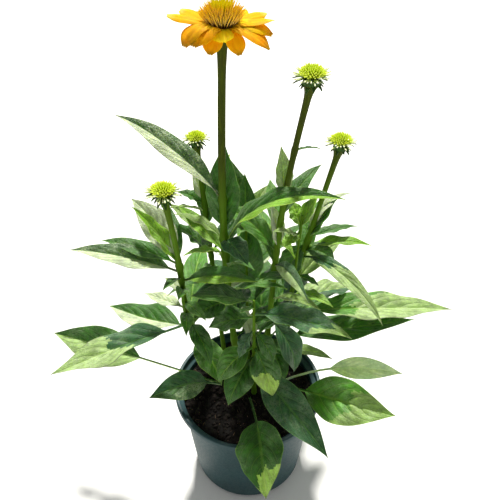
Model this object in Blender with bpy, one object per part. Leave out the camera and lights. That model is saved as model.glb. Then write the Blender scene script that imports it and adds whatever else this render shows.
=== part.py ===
"""Potted coneflower: one open flower and four buds on leafy stems, in a round nursery pot.

Metres, +Z up. The origin is the centre of the pot's flat underside, +X is to the right and -Y is
the front. Headings are degrees round +Z: 0 is right, 90 is the back, 180 is left, -90 is the front.
"""
import math

import bmesh
import bpy
from mathutils import Vector
from mathutils.kdtree import KDTree

GAP = 0.0003            # clearance between neighbouring pieces

# Pot and potting mix
POT_HEIGHT = 0.138
RIM_RADIUS = 0.085
LIP_HEIGHT = 0.007      # rolled lip, measured down from the top
LIP_WIDTH = 0.004
WALL_TOP_RADIUS = 0.0775
WALL_FOOT_RADIUS = 0.066
FOOT_RADIUS = 0.0625    # flat underside
FOOT_RISE = 0.006       # height of the drawn-in foot
WALL = 0.0015
FLOOR = 0.004
BEVEL = 0.0012          # rounding of the lip's edges
MIX_TOP = 0.127
POT_SIDES = 44

# Stems
STEM_SIDES = 8
STEM_RING_STEP = 0.024  # length of stem between two rings
FOOT_FLARE = 0.35       # extra share of the radius at the potting mix
FLARE_LENGTH = 0.02
NECK_LENGTH = 0.045     # a flower stalk thickens over this length below its head
NECK_FLARE = 0.6
FLOWERING_TAPER = 0.12  # share of the radius lost from foot to tip
LEAFY_TAPER = 0.55

# Leaves
LEAF_STATIONS = (5, 8)  # stations along the shortest and the longest leaves
STATION_LENGTHS = (0.03, 0.13)
LEAF_FOLD = 20          # degrees by which each half of the blade is raised
LEAF_MIN_THICK = 0.0016
LEAF_THICK_SHARE = 0.012
BLADE_RISE = 0.85       # how fully the blade widens from its stalk
BLADE_FALL = 1.25       # how finely it draws out to its tip
STALK_HALF_WIDTH = 0.0012
PETIOLE = 0.12          # share of a leaf's length that is bare stalk
LEAF_CLEARANCE = 0.0036
ROOT_REACH = 0.010      # a leaf's clearance is not tested nearer to its root
STEM_SAMPLES = 120      # points down a stem for that test
RIB_STEPS = 24

# Heads
HEAD_SIDES = 16
BUD_HEIGHT = 0.66       # share of the bud's width
BUD_PROFILE = ((0.72, 0.22), (1.0, 0.45), (0.9, 0.72), (0.55, 0.94))    # shares of radius and height
BRACTS = 9
BRACT_LEVEL = 0.24      # share of the bud's height
BRACT_LENGTH = 0.78     # share of the bud's width
BRACT_WIDTH = 0.2
BRACT_RISE = -12
BRACT_DROOP = 50
CONE_WIDTH = 0.038
CONE_HEIGHT = 0.0195
CONE_PROFILE = ((0.40, 0.0), (0.72, 0.22), (0.94, 0.45), (1.0, 0.62), (0.9, 0.78), (0.6, 0.93))
PETAL_WIDTH = 0.017
PETAL_THICK = 0.0012
PETAL_SHARES = (0.0, 0.25, 0.5, 0.75, 0.92, 1.0)    # along its length
PETAL_WIDTHS = (0.45, 0.85, 1.0, 0.97, 0.75, 0.3)   # share of its width there
PETAL_INSET = 0.5       # where petals start, as a share of the receptacle's radius
PETAL_LEVEL = 0.4       # and of its height
RECEPTACLE_RADIUS = 0.012
RECEPTACLE_HEIGHT = 0.0045

# shoot: foot (x, y), tip (x, y, z), bow (x, y), sway in x, leafy stretch (from z, to z), radius, head width
SHOOTS = {
    "main": ((-0.010, 0.017), (-0.018, 0.0, 0.550), (-0.008, 0.0), 0.0, (0.190, 0.405), 0.0036, None),
    "left": ((-0.041, 0.023), (-0.071, -0.020, 0.414), (-0.009, 0.0), -0.004, (0.185, 0.345), 0.0029, 0.023),
    "back_left": ((-0.027, 0.036), (-0.047, 0.045, 0.430), (0.0, 0.0), 0.0, (0.200, 0.375), 0.0026, 0.019),
    "right": ((0.017, 0.020), (0.050, 0.0, 0.508), (-0.006, 0.0), 0.002, (0.195, 0.455), 0.0030, 0.023),
    "far_right": ((0.029, 0.033), (0.081, 0.020, 0.440), (-0.004, 0.0), 0.0, (0.165, 0.365), 0.0028, 0.021),
    "front_shoot": ((0.007, -0.003), (0.006, -0.030, 0.303), (0.0, 0.0), 0.0, (0.185, 0.303), 0.0024, None),
    "right_shoot": ((0.040, 0.019), (0.051, 0.010, 0.374), (0.0, 0.0), 0.0, (0.160, 0.374), 0.0022, None),
    "back_shoot": ((0.0, 0.042), (-0.002, 0.050, 0.345), (0.0, 0.0), 0.0, (0.190, 0.345), 0.0023, None),
}
FLOWER_SHOOT = "main"

# tuft of leaves that rise from the potting mix: place (x, y)
TUFTS = {
    "front_tuft": (0.002, -0.014),
    "right_tuft": (0.036, 0.004),
    "left_tuft": (-0.031, 0.000),
    "back_tuft": (0.014, 0.056),
}
TUFT_HEIGHT = 0.012
TUFT_RADIUS = 0.0036
TUFT_SHOULDER = (0.8, 0.6)  # shares of its radius and height

# a leaf: height of its root, heading, mean rise, droop from root to tip, length, width, roll, petiole
LEAVES = {
    "main": (
        (0.393, 159, 33, 46, 0.125, 0.024, 23),
        (0.331, -22, 39, 80, 0.156, 0.026, -12),
        (0.351, 84, 79, 10, 0.093, 0.032, 0),
        (0.346, -60, 2, 60, 0.048, 0.024, 0),
        (0.325, -150, 22, 70, 0.052, 0.012, 0),
        (0.262, 205, -12, 40, 0.043, 0.032, 20),
    ),
    "back_shoot": (
        (0.245, 84, 84, 10, 0.090, 0.038, 0),
        (0.314, 96, 82, 10, 0.076, 0.026, 0),
        (0.333, 120, 64, 20, 0.069, 0.022, 0),
        (0.336, 40, 49, 20, 0.044, 0.018, 0),
    ),
    "back_left": (
        (0.365, 130, 59, 10, 0.034, 0.014, 0),
        (0.362, 175, 28, 50, 0.031, 0.014, 0),
        (0.317, 160, 41, 25, 0.059, 0.018, 0),
        (0.297, 175, 47, 30, 0.058, 0.024, 0),
        (0.334, 60, 80, 10, 0.060, 0.022, 0),
    ),
    "left": (
        (0.323, 168, 59, 25, 0.079, 0.018, 10),
        (0.333, 140, 38, 45, 0.077, 0.030, 28),
        (0.327, 168, 13, 35, 0.080, 0.022, 0),
        (0.316, -176, 19, 28, 0.107, 0.027, 8),
        (0.287, 140, 8, 10, 0.026, 0.014, 0),
        (0.258, 150, -4, 20, 0.055, 0.018, 0),
        (0.227, 153, -10, -14, 0.115, 0.040, 4),
        (0.233, -169, -18, -3, 0.164, 0.048, -4, 0.17),
        (0.303, -24, 20, 31, 0.089, 0.019, -30),
        (0.230, -60, -20, 115, 0.062, 0.020, -14),
        (0.200, -58, -14, 80, 0.066, 0.032, 0),
    ),
    "right": (
        (0.392, 118, 80, 10, 0.054, 0.018, 0),
        (0.446, 10, 0, 40, 0.023, 0.008, 30),
        (0.333, 140, 79, 30, 0.053, 0.018, 0),
        (0.312, -72, 17, 54, 0.092, 0.015, -42),
        (0.232, -42, -58, 80, 0.076, 0.030, -13),
        (0.205, -70, -30, 70, 0.060, 0.028, -10),
    ),
    "far_right": (
        (0.339, 30, 37, 100, 0.066, 0.014, 0),
        (0.330, 15, 60, 25, 0.055, 0.020, 0),
        (0.336, 20, 0, 30, 0.055, 0.014, 0),
        (0.323, 0, 2, 45, 0.068, 0.015, 0),
        (0.317, -30, -3, 120, 0.040, 0.022, 0),
        (0.333, 158, -70, 20, 0.072, 0.027, 75),
        (0.310, -54, -2, 84, 0.125, 0.016, -21),
        (0.284, -20, -16, 50, 0.026, 0.010, 0),
        (0.247, 28, -13, 17, 0.095, 0.030, 4),
        (0.228, 7, -6, 13, 0.198, 0.042, -7, 0.15),
        (0.188, -2, 12, -15, 0.153, 0.038, -12),
    ),
    "front_shoot": (
        (0.299, 178, 6, 25, 0.062, 0.026, 0),
        (0.280, -22, 3, 45, 0.101, 0.034, 0),
        (0.222, -62, -40, 70, 0.058, 0.032, -20),
        (0.222, -150, -35, 70, 0.056, 0.030, 10),
        (0.188, -54, -10, 27, 0.128, 0.040, -28),
        (0.275, 190, -8, 40, 0.047, 0.032, 8),
        (0.250, -38, -50, 50, 0.040, 0.019, -10),
        (0.254, -150, -62, 30, 0.038, 0.016, 0),
        (0.205, -122, -28, 70, 0.062, 0.032, 16),
    ),
    "right_shoot": (
        (0.358, 35, 57, 30, 0.037, 0.018, 0),
        (0.358, 115, 41, 20, 0.029, 0.018, 0),
        (0.352, -140, -20, 60, 0.021, 0.014, 0),
        (0.181, -25, 9, 30, 0.058, 0.014, 0),
    ),
    "front_tuft": (
        (0.131, -82, -4, 79, 0.130, 0.052, -20, 0.38),
    ),
    "right_tuft": (
        (0.134, -31, 15, -4, 0.144, 0.053, -36, 0.25),
        (0.135, -6, 14, 54, 0.148, 0.026, -41, 0.45),
    ),
    "left_tuft": (
        (0.137, -152, 18, 52, 0.095, 0.033, 46, 0.25),
        (0.137, 163, 5, 10, 0.219, 0.048, 32, 0.47),
    ),
    "back_tuft": (
        (0.130, 62, 18, 80, 0.150, 0.044, 0, 0.3),
        (0.130, 118, 16, 90, 0.165, 0.048, 0, 0.3),
        (0.130, 90, 36, 62, 0.140, 0.044, 0, 0.3),
        (0.130, 28, 24, 70, 0.120, 0.038, 0, 0.3),
        (0.130, 150, 26, 75, 0.135, 0.042, 0, 0.3),
    ),
}

# leaves grown by rule, where they are clear: count, from z, to z, first heading, greatest length
FILLING = {
    "main": (9, 0.200, 0.345, 150, 0.125),
    "left": (8, 0.195, 0.325, 115, 0.120),
    "back_left": (9, 0.210, 0.355, 80, 0.125),
    "right": (9, 0.200, 0.370, 25, 0.120),
    "far_right": (9, 0.175, 0.330, 75, 0.125),
    "front_shoot": (5, 0.190, 0.290, -60, 0.090),
    "back_shoot": (9, 0.200, 0.325, 100, 0.130),
    "right_shoot": (7, 0.175, 0.345, 30, 0.110),
}
TURN = 137.5            # degrees from one leaf to the next
TRIES = 10              # headings that are tried for each
TRY_TURN = 27
FRONT_SHARE = 0.5       # length of the front ones against the back ones
TOP_SHORTENING = 0.4    # share of the length lost from the lowest to the highest
LOW_RISE, HIGH_RISE = 2, 32
LOW_DROOP, HIGH_DROOP = 62, 38
SLIMNESS = 0.28         # width against length
SWING_STEP = 2.4        # radians from one leaf's swing to the next
DROOP_SWING_STEP = 3.1
SWING_LENGTH = 0.12     # how far they differ from each other
SWING_RISE = 9
SWING_DROOP = 14
SWING_ROLL = 20
FRONT_LOW = 0.245       # the front ones grow only above this height
CROWN_CENTRE = (0.012, 0.020)
CROWN_REACH = (0.100, 0.165)

# petal: heading, mean rise, droop, length from the cone's edge
PETALS = (
    (180, 14, 24, 0.021), (213, -19, 125, 0.021), (230, -12, 118, 0.014), (250, -36, 80, 0.011),
    (273, -16, 62, 0.007), (300, -38, 80, 0.012), (334, -19, 78, 0.024), (350, -8, 75, 0.021),
    (4, 6, 30, 0.020), (26, 8, 30, 0.018), (60, 6, 30, 0.014), (95, 6, 30, 0.012),
    (125, 6, 30, 0.013), (152, 12, 25, 0.018),
)


def clear_scene():
    for old in list(bpy.data.objects):
        bpy.data.objects.remove(old, do_unlink=True)


def material(name, colour, roughness):
    """A plain Principled material."""
    made = bpy.data.materials.new(name)
    made.use_nodes = True
    shader = made.node_tree.nodes["Principled BSDF"]
    shader.inputs["Base Color"].default_value = (*colour, 1.0)
    shader.inputs["Roughness"].default_value = roughness
    shader.inputs["Metallic"].default_value = 0.0
    return made


def add_object(name, form, finish, origin=(0.0, 0.0, 0.0), collection=None):
    """Turns a bmesh in world coordinates into an object whose own origin is at origin."""
    bmesh.ops.translate(form, verts=form.verts, vec=-Vector(origin))
    bmesh.ops.recalc_face_normals(form, faces=form.faces)
    mesh = bpy.data.meshes.new(name)
    form.to_mesh(mesh)
    form.free()
    made = bpy.data.objects.new(name, mesh)
    made.location = origin
    if finish is not None:
        mesh.materials.append(finish)
    (collection or bpy.context.scene.collection).objects.link(made)
    return made


def smooth(thing, degrees=40):
    thing.data.shade_smooth()
    thing.data.set_sharp_from_angle(angle=math.radians(degrees))


def turned(profile, sides, centre=(0.0, 0.0, 0.0)):
    """A closed turned form. The profile runs from axis to axis as (radius, height) pairs."""
    form = bmesh.new()
    middle = Vector(centre)
    rings = []
    for radius, height in profile:
        if radius == 0.0:
            rings.append([form.verts.new(middle + Vector((0.0, 0.0, height)))])
            continue
        ring = []
        for side in range(sides):
            angle = math.tau * side / sides
            spot = Vector((radius * math.cos(angle), radius * math.sin(angle), height))
            ring.append(form.verts.new(middle + spot))
        rings.append(ring)
    for low, high in zip(rings, rings[1:]):
        join_rings(form, low, high)
    return form


def join_rings(form, low, high):
    """Faces between two rings, either of which may be a single point."""
    sides = max(len(low), len(high))
    for side in range(sides):
        after = (side + 1) % sides
        corners = []
        for ring, index in ((low, side), (low, after), (high, after), (high, side)):
            vert = ring[index % len(ring)]
            if vert not in corners:
                corners.append(vert)
        form.faces.new(corners)


def stem_point(shoot, height):
    """The middle of a shoot's stem at a height."""
    foot, tip, bow, sway, _leafy, _radius, _head = SHOOTS[shoot]
    share = (height - MIX_TOP) / (tip[2] - MIX_TOP)
    arch = math.sin(math.pi * share)
    wave = math.sin(math.tau * share)
    x = foot[0] + (tip[0] - foot[0]) * share + bow[0] * arch + sway * wave
    y = foot[1] + (tip[1] - foot[1]) * share + bow[1] * arch
    return Vector((x, y, height))


def stem_radius(shoot, height):
    """Tapers upward, with a flare at the potting mix and another below a head."""
    _foot, tip, _bow, _sway, _leafy, radius, head = SHOOTS[shoot]
    share = (height - MIX_TOP) / (tip[2] - MIX_TOP)
    flare = FOOT_FLARE * math.exp(-(height - MIX_TOP) / FLARE_LENGTH)
    neck = 0.0
    if head or shoot == FLOWER_SHOOT:
        neck = NECK_FLARE * max(0.0, 1.0 - (tip[2] - height) / NECK_LENGTH) ** 2
        taper = 1.0 - FLOWERING_TAPER * share
    else:
        taper = 1.0 - LEAFY_TAPER * share
    return radius * (taper + flare + neck)


def stem_form(shoot, low, high):
    """A stretch of stem between two heights, cut level at both ends."""
    form = bmesh.new()
    count = max(2, math.ceil((high - low) / STEM_RING_STEP) + 1)
    rings = []
    for index in range(count):
        height = low + (high - low) * index / (count - 1)
        middle = stem_point(shoot, height)
        radius = stem_radius(shoot, height)
        ring = []
        for side in range(STEM_SIDES):
            angle = math.tau * side / STEM_SIDES
            ring.append(form.verts.new(middle + radius * Vector((math.cos(angle), math.sin(angle), 0.0))))
        rings.append(ring)
    for below, above in zip(rings, rings[1:]):
        join_rings(form, below, above)
    form.faces.new(rings[0])
    form.faces.new(rings[-1])
    return form


def rib(root, heading, rise, droop, length):
    """Points along a leaf's midrib, with the direction at each."""
    points, ways = [Vector(root)], []
    for step in range(RIB_STEPS):
        share = (step + 0.5) / RIB_STEPS
        climb = math.radians(rise + droop * (0.5 - share))
        turn = math.radians(heading)
        way = Vector((math.cos(climb) * math.cos(turn), math.cos(climb) * math.sin(turn), math.sin(climb)))
        points.append(points[-1] + way * length / RIB_STEPS)
        ways.append(way)
    ways.append(ways[-1])
    return points, ways


def half_width(share, width, petiole):
    """Half the width of a lance-shaped leaf at a share of its length."""
    if share <= petiole:
        return STALK_HALF_WIDTH
    along = (share - petiole) / (1.0 - petiole)
    widest = BLADE_RISE / (BLADE_RISE + BLADE_FALL)
    blade = (along / widest) ** BLADE_RISE * ((1.0 - along) / (1.0 - widest)) ** BLADE_FALL
    return max(width / 2 * blade, STALK_HALF_WIDTH * (1.0 - along))


def leaf_frame(root, row):
    """Stations along a leaf: middle, unit vectors across and upward, half width."""
    _height, heading, rise, droop, length, width, roll, *rest = row
    petiole = rest[0] if rest else PETIOLE
    points, ways = rib(root, heading, rise, droop, length)
    turn = math.radians(heading)
    flat = Vector((math.sin(turn), -math.cos(turn), 0.0))
    tilt = math.radians(roll)
    stations = []
    for step, (point, way) in enumerate(zip(points, ways)):
        up = flat.cross(way)
        across = flat * math.cos(tilt) + up * math.sin(tilt)
        stations.append((point, across, across.cross(way), half_width(step / RIB_STEPS, width, petiole)))
    return stations


def edges(station):
    """The two edges of the folded blade at a station."""
    middle, across, up, half = station
    fold = math.radians(LEAF_FOLD)
    lift = up * (half * math.sin(fold))
    reach = across * (half * math.cos(fold))
    return middle - reach + lift, middle + reach + lift


def station_count(length):
    """Longer leaves have more stations."""
    (few, many), (short, long) = LEAF_STATIONS, STATION_LENGTHS
    share = min(1.0, max(0.0, (length - short) / (long - short)))
    return round(few + (many - few) * share)


def leaf_form(root, row, stations=None):
    """A closed leaf: a folded blade that is thickest along its midrib and ends in a point."""
    length = row[4]
    stations = stations or station_count(length)
    thick = max(LEAF_MIN_THICK, LEAF_THICK_SHARE * length)
    frame = leaf_frame(root, row)
    form = bmesh.new()
    rings = []
    for index in range(stations):
        station = frame[round(index * RIB_STEPS / stations)]
        middle, _across, up, _half = station
        left, right = edges(station)
        corners = (left, middle + up * thick / 2, right, middle - up * thick / 2)
        rings.append([form.verts.new(corner) for corner in corners])
    rings.append([form.verts.new(frame[-1][0])])
    for below, above in zip(rings, rings[1:]):
        join_rings(form, below, above)
    form.faces.new(rings[0])
    bmesh.ops.triangulate(form, faces=form.faces)
    return form


def leaf_cloud(root, row):
    """Points over a leaf's blade, for measuring how clear it is."""
    cloud = []
    for station in leaf_frame(root, row):
        middle = station[0]
        if (middle - root).length < ROOT_REACH:
            continue
        cloud.append(middle)
        for edge in edges(station):
            cloud += [middle.lerp(edge, share) for share in (1 / 3, 2 / 3, 1.0)]
    return cloud


def stem_cloud(shoot):
    """Points down the middle of a stem."""
    rise = SHOOTS[shoot][1][2] - MIX_TOP
    return [stem_point(shoot, MIX_TOP + rise * step / STEM_SAMPLES) for step in range(STEM_SAMPLES + 1)]


def root_of(owner, row):
    """Where a leaf starts: on its shoot's stem, or in its tuft."""
    if owner in TUFTS:
        return Vector((*TUFTS[owner], row[0]))
    return stem_point(owner, row[0])


def filling_row(shoot, index, attempt):
    """One leaf of the filling rule: lower ones and those at the back are longer."""
    count, low, high, first, longest = FILLING[shoot]
    share = index / (count - 1)
    heading = (first + TURN * index + TRY_TURN * attempt) % 360
    behind = (1.0 + math.sin(math.radians(heading))) / 2
    length = longest * (1.0 - TOP_SHORTENING * share) * (FRONT_SHARE + (1.0 - FRONT_SHARE) * behind)
    swing = math.sin(SWING_STEP * index + first)
    droop_swing = math.cos(DROOP_SWING_STEP * index + first)
    length *= 1.0 + SWING_LENGTH * swing
    rise = LOW_RISE + (HIGH_RISE - LOW_RISE) * share + SWING_RISE * swing
    droop = LOW_DROOP + (HIGH_DROOP - LOW_DROOP) * share + SWING_DROOP * droop_swing
    return (low + (high - low) * share, heading, rise, droop, length, SLIMNESS * length, SWING_ROLL * swing)


def allowed(row):
    """The bare lower stems show at the front, so no leaf of the rule hangs before them."""
    height, heading = row[0], row[1]
    return height > FRONT_LOW or math.sin(math.radians(heading)) > 0.0


def in_crown(cloud):
    """Whether a leaf stays within the crown's oval."""
    for point in cloud:
        across = (point.x - CROWN_CENTRE[0]) / CROWN_REACH[0]
        along = (point.y - CROWN_CENTRE[1]) / CROWN_REACH[1]
        if across * across + along * along > 1.0:
            return False
    return True


def is_clear(cloud, taken):
    """Whether no point of the cloud comes nearer to the taken points than the clearance."""
    return all(taken.find(point)[2] > LEAF_CLEARANCE for point in cloud)


def pot_clear(cloud):
    """Whether a leaf stays above the potting mix and the pot's rim."""
    for point in cloud:
        spread = math.hypot(point.x, point.y)
        floor = POT_HEIGHT if spread > WALL_FOOT_RADIUS else MIX_TOP
        if spread < RIM_RADIUS + LEAF_CLEARANCE and point.z < floor + LEAF_CLEARANCE:
            return False
    return True


def point_tree(points):
    tree = KDTree(len(points))
    for index, point in enumerate(points):
        tree.insert(point, index)
    tree.balance()
    return tree


def all_leaves():
    """Every leaf's row, by owner: the named ones, then those of the filling rule that are clear."""
    grown = {owner: list(rows) for owner, rows in LEAVES.items()}
    taken = [point for shoot in SHOOTS for point in stem_cloud(shoot)]
    for owner, rows in grown.items():
        for row in rows:
            taken += leaf_cloud(root_of(owner, row), row)
    longest_first = sorted((index, shoot) for shoot in FILLING for index in range(FILLING[shoot][0]))
    for index, shoot in longest_first:
        tree = point_tree(taken)
        for attempt in range(TRIES):
            row = filling_row(shoot, index, attempt)
            cloud = leaf_cloud(root_of(shoot, row), row)
            if allowed(row) and in_crown(cloud) and pot_clear(cloud) and is_clear(cloud, tree):
                grown[shoot].append(row)
                taken += cloud
                break
    return grown


def fuse(core, forms):
    """Joins forms to the core object with one Boolean union, which is applied."""
    added = bpy.data.collections.new(core.name + "_joined")
    bpy.context.scene.collection.children.link(added)
    for index, form in enumerate(forms):
        add_object(f"{core.name}_joined_{index}", form, None, collection=added)
    union = core.modifiers.new("union", "BOOLEAN")
    union.operation = "UNION"
    union.operand_type = "COLLECTION"
    union.collection = added
    union.solver = "EXACT"
    graph = bpy.context.evaluated_depsgraph_get()
    joined = bpy.data.meshes.new_from_object(core.evaluated_get(graph))
    core.modifiers.remove(union)
    core.data = joined
    for piece in list(added.objects):
        bpy.data.objects.remove(piece, do_unlink=True)
    bpy.data.collections.remove(added)
    return core


def make_pot(finish):
    """A tapered pot with a rolled lip, a drawn-in foot and a flat underside."""
    lip_low = POT_HEIGHT - LIP_HEIGHT
    inner_foot = WALL_FOOT_RADIUS - WALL
    profile = (
        (0.0, 0.0), (FOOT_RADIUS, 0.0), (WALL_FOOT_RADIUS, FOOT_RISE), (WALL_TOP_RADIUS, lip_low),
        (RIM_RADIUS - BEVEL, lip_low), (RIM_RADIUS, lip_low + BEVEL), (RIM_RADIUS, POT_HEIGHT - BEVEL),
        (RIM_RADIUS - BEVEL, POT_HEIGHT), (RIM_RADIUS - LIP_WIDTH, POT_HEIGHT),
        (RIM_RADIUS - LIP_WIDTH, lip_low + WALL), (WALL_TOP_RADIUS - WALL, lip_low),
        (inner_foot, FLOOR), (0.0, FLOOR),
    )
    pot = add_object("pot", turned(profile, POT_SIDES), finish)
    smooth(pot)
    return pot


def inner_radius(height):
    """The pot's inner radius at a height below the lip."""
    lip_low = POT_HEIGHT - LIP_HEIGHT
    share = (height - FLOOR) / (lip_low - FLOOR)
    return (WALL_FOOT_RADIUS + (WALL_TOP_RADIUS - WALL_FOOT_RADIUS) * share) - WALL


def make_mix(finish):
    """The potting mix that fills the pot to a little below its rim."""
    low = FLOOR + GAP
    foot, top = inner_radius(low) - 2 * GAP, inner_radius(MIX_TOP) - 2 * GAP
    profile = ((0.0, low), (foot, low), (top, MIX_TOP), (0.0, MIX_TOP))
    return add_object("potting_mix", turned(profile, POT_SIDES), finish)


def bare_stem(name, shoot, low, high, finish):
    """A bare stretch of stem, with its origin at its foot."""
    made = add_object(name, stem_form(shoot, low, high), finish, stem_point(shoot, low))
    smooth(made)
    return made


def make_shoot(shoot, rows, finishes):
    """A shoot's bare foot, its mass of leaves and, under a head, its bare stalk."""
    tip_height = SHOOTS[shoot][1][2]
    low, high = SHOOTS[shoot][4]
    has_head = shoot == FLOWER_SHOOT or SHOOTS[shoot][6]
    foot = bare_stem(f"stem_{shoot}", shoot, MIX_TOP + GAP, low - GAP, finishes["stem"])
    leafy = add_object(f"leaves_{shoot}", stem_form(shoot, low, high), finishes["leaf"])
    fuse(leafy, [leaf_form(root_of(shoot, row), row) for row in rows])
    made = [foot, leafy]
    if has_head:
        stalk = bare_stem(f"stalk_{shoot}", shoot, high + GAP, tip_height - GAP, finishes["stem"])
        made.append(stalk)
    return made


def make_tuft(tuft, rows, finishes):
    """Long-stalked leaves that rise from one short crown on the potting mix."""
    place = Vector((*TUFTS[tuft], MIX_TOP + GAP))
    wide, high = TUFT_SHOULDER
    profile = ((0.0, 0.0), (TUFT_RADIUS, 0.0), (TUFT_RADIUS * wide, TUFT_HEIGHT * high), (0.0, TUFT_HEIGHT))
    crown = add_object(f"leaves_{tuft}", turned(profile, STEM_SIDES, place), finishes["leaf"])
    fuse(crown, [leaf_form(root_of(tuft, row), row) for row in rows])
    return [crown]


def make_bud(shoot, finishes):
    """A domed bud on a collar of pointed bracts that bend down."""
    tip, width = SHOOTS[shoot][1], SHOOTS[shoot][6]
    radius, height = width / 2, width * BUD_HEIGHT
    neck = stem_radius(shoot, tip[2])
    dome = [(radius * wide, height * high) for wide, high in BUD_PROFILE]
    profile = [(0.0, 0.0), (neck, 0.0), *dome, (0.0, height)]
    bud = add_object(f"bud_{shoot}", turned(profile, HEAD_SIDES, tip), finishes["bud"])
    root = Vector(tip) + Vector((0.0, 0.0, height * BRACT_LEVEL))
    bracts = []
    for index in range(BRACTS):
        heading = 360 * (index + 0.5) / BRACTS
        row = (root.z, heading, BRACT_RISE, BRACT_DROOP, width * BRACT_LENGTH, width * BRACT_WIDTH, 0, 0.0)
        bracts.append(leaf_form(root, row, stations=3))
    return [fuse(bud, bracts)]


def make_flower(finishes):
    """The open flower: a ring of petals on a receptacle, and the cone that stands in it."""
    tip = Vector(SHOOTS[FLOWER_SHOOT][1])
    neck = stem_radius(FLOWER_SHOOT, tip.z)
    profile = ((0.0, 0.0), (neck, 0.0), (RECEPTACLE_RADIUS, RECEPTACLE_HEIGHT), (0.0, RECEPTACLE_HEIGHT))
    ring = add_object("petals", turned(profile, HEAD_SIDES, tip), finishes["petal"])
    petals = []
    inset = RECEPTACLE_RADIUS * PETAL_INSET
    for heading, rise, droop, length in PETALS:
        turn = math.radians(heading)
        out = Vector((math.cos(turn), math.sin(turn), 0.0))
        root = tip + out * inset + Vector((0.0, 0.0, RECEPTACLE_HEIGHT * PETAL_LEVEL))
        petals.append(petal_form(root, heading, rise, droop, length + CONE_WIDTH / 2 - inset))
    fuse(ring, petals)
    base = tip + Vector((0.0, 0.0, RECEPTACLE_HEIGHT + GAP))
    radius = CONE_WIDTH / 2
    dome = [(radius * wide, CONE_HEIGHT * high) for wide, high in CONE_PROFILE]
    cone = add_object("flower_cone", turned([(0.0, 0.0), *dome, (0.0, CONE_HEIGHT)], HEAD_SIDES, base),
                      finishes["cone"])
    smooth(cone)
    return [ring, cone]


def petal_form(root, heading, rise, droop, length):
    """A strap-shaped petal with a blunt tip, about as wide over most of its length."""
    points, ways = rib(root, heading, rise, droop, length)
    turn = math.radians(heading)
    across = Vector((math.sin(turn), -math.cos(turn), 0.0))
    form = bmesh.new()
    rings = []
    for share, wide in zip(PETAL_SHARES, PETAL_WIDTHS):
        step = round(share * RIB_STEPS)
        up = across.cross(ways[step])
        reach = across * (PETAL_WIDTH / 2 * wide)
        lift = up * (PETAL_THICK / 2)
        rings.append([form.verts.new(points[step] + offset) for offset in
                      (-reach, lift, reach, -lift)])
    for below, above in zip(rings, rings[1:]):
        join_rings(form, below, above)
    form.faces.new(rings[0])
    form.faces.new(rings[-1])
    bmesh.ops.triangulate(form, faces=form.faces)
    return form


def main():
    clear_scene()
    finishes = {
        "pot": material("pot_plastic", (0.045, 0.075, 0.085), 0.45),
        "mix": material("potting_mix", (0.022, 0.014, 0.010), 0.95),
        "stem": material("stem_green", (0.075, 0.130, 0.020), 0.55),
        "leaf": material("leaf_green", (0.060, 0.160, 0.045), 0.50),
        "bud": material("bud_green", (0.480, 0.600, 0.060), 0.60),
        "petal": material("petal_yellow", (0.950, 0.450, 0.010), 0.50),
        "cone": material("cone_orange", (0.600, 0.260, 0.020), 0.70),
    }
    grown = all_leaves()
    made = [make_pot(finishes["pot"]), make_mix(finishes["mix"])]
    for shoot in SHOOTS:
        made += make_shoot(shoot, grown[shoot], finishes)
        if SHOOTS[shoot][6]:
            made += make_bud(shoot, finishes)
    for tuft in TUFTS:
        made += make_tuft(tuft, grown[tuft], finishes)
    made += make_flower(finishes)
    plant = bpy.data.objects.new("coneflower", None)
    bpy.context.scene.collection.objects.link(plant)
    for piece in made:
        piece.parent = plant


main()
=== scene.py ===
"""Looks of the potted coneflower: leaves, stems, heads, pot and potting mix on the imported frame.

Metres and degrees in the frame's own axes. Headings are degrees round +Z, as in the part's source:
0 is right, 90 is the back, 180 is left, -90 is the front.
"""
import math
import random
from collections import namedtuple
from itertools import combinations

import bpy
import numpy as np
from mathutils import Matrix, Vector, noise
from mathutils.kdtree import KDTree

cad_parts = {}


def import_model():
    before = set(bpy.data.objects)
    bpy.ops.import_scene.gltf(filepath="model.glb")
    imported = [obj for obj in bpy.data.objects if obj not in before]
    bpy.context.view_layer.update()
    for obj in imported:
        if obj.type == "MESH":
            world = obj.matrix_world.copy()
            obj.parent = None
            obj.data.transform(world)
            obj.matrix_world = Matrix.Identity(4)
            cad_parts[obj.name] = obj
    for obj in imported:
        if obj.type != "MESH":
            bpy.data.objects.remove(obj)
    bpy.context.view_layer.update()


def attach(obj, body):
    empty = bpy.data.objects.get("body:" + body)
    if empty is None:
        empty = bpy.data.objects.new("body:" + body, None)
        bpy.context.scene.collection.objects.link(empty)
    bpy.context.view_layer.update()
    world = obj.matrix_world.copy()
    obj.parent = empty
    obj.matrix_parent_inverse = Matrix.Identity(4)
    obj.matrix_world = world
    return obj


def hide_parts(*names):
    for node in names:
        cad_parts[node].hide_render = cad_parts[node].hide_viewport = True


BODY = "root"
GAP = 0.0003
MM = 0.001
SMOOTH_UP_TO = 55       # degrees between faces that are shaded as one

# Camera, solved from the pot's rim and foot in the photograph
CAMERA_PLACE = (0.0023, -0.441, 0.704)
CAMERA_PITCH = 39.5     # degrees below the horizon
CAMERA_NEAR = 0.01
LENS = 43.2             # on a sensor 36 wide
SENSOR = 36.0

# Studio: an even white surround, one high soft key from behind and a pale floor
SKY_COLOUR = (1.0, 1.0, 0.98)
SKY_STRENGTH = 0.42
KEY_HEADING = 92
KEY_HEIGHT = 56
KEY_SOFTNESS = 6
KEY_STRENGTH = 6.4
KEY_COLOUR = (1.0, 0.97, 0.9)
FLOOR_SIDE = 12.0
FLOOR_TONES = (0.85, 0.86, 0.87)
FLOOR_GRAIN = 6

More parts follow.
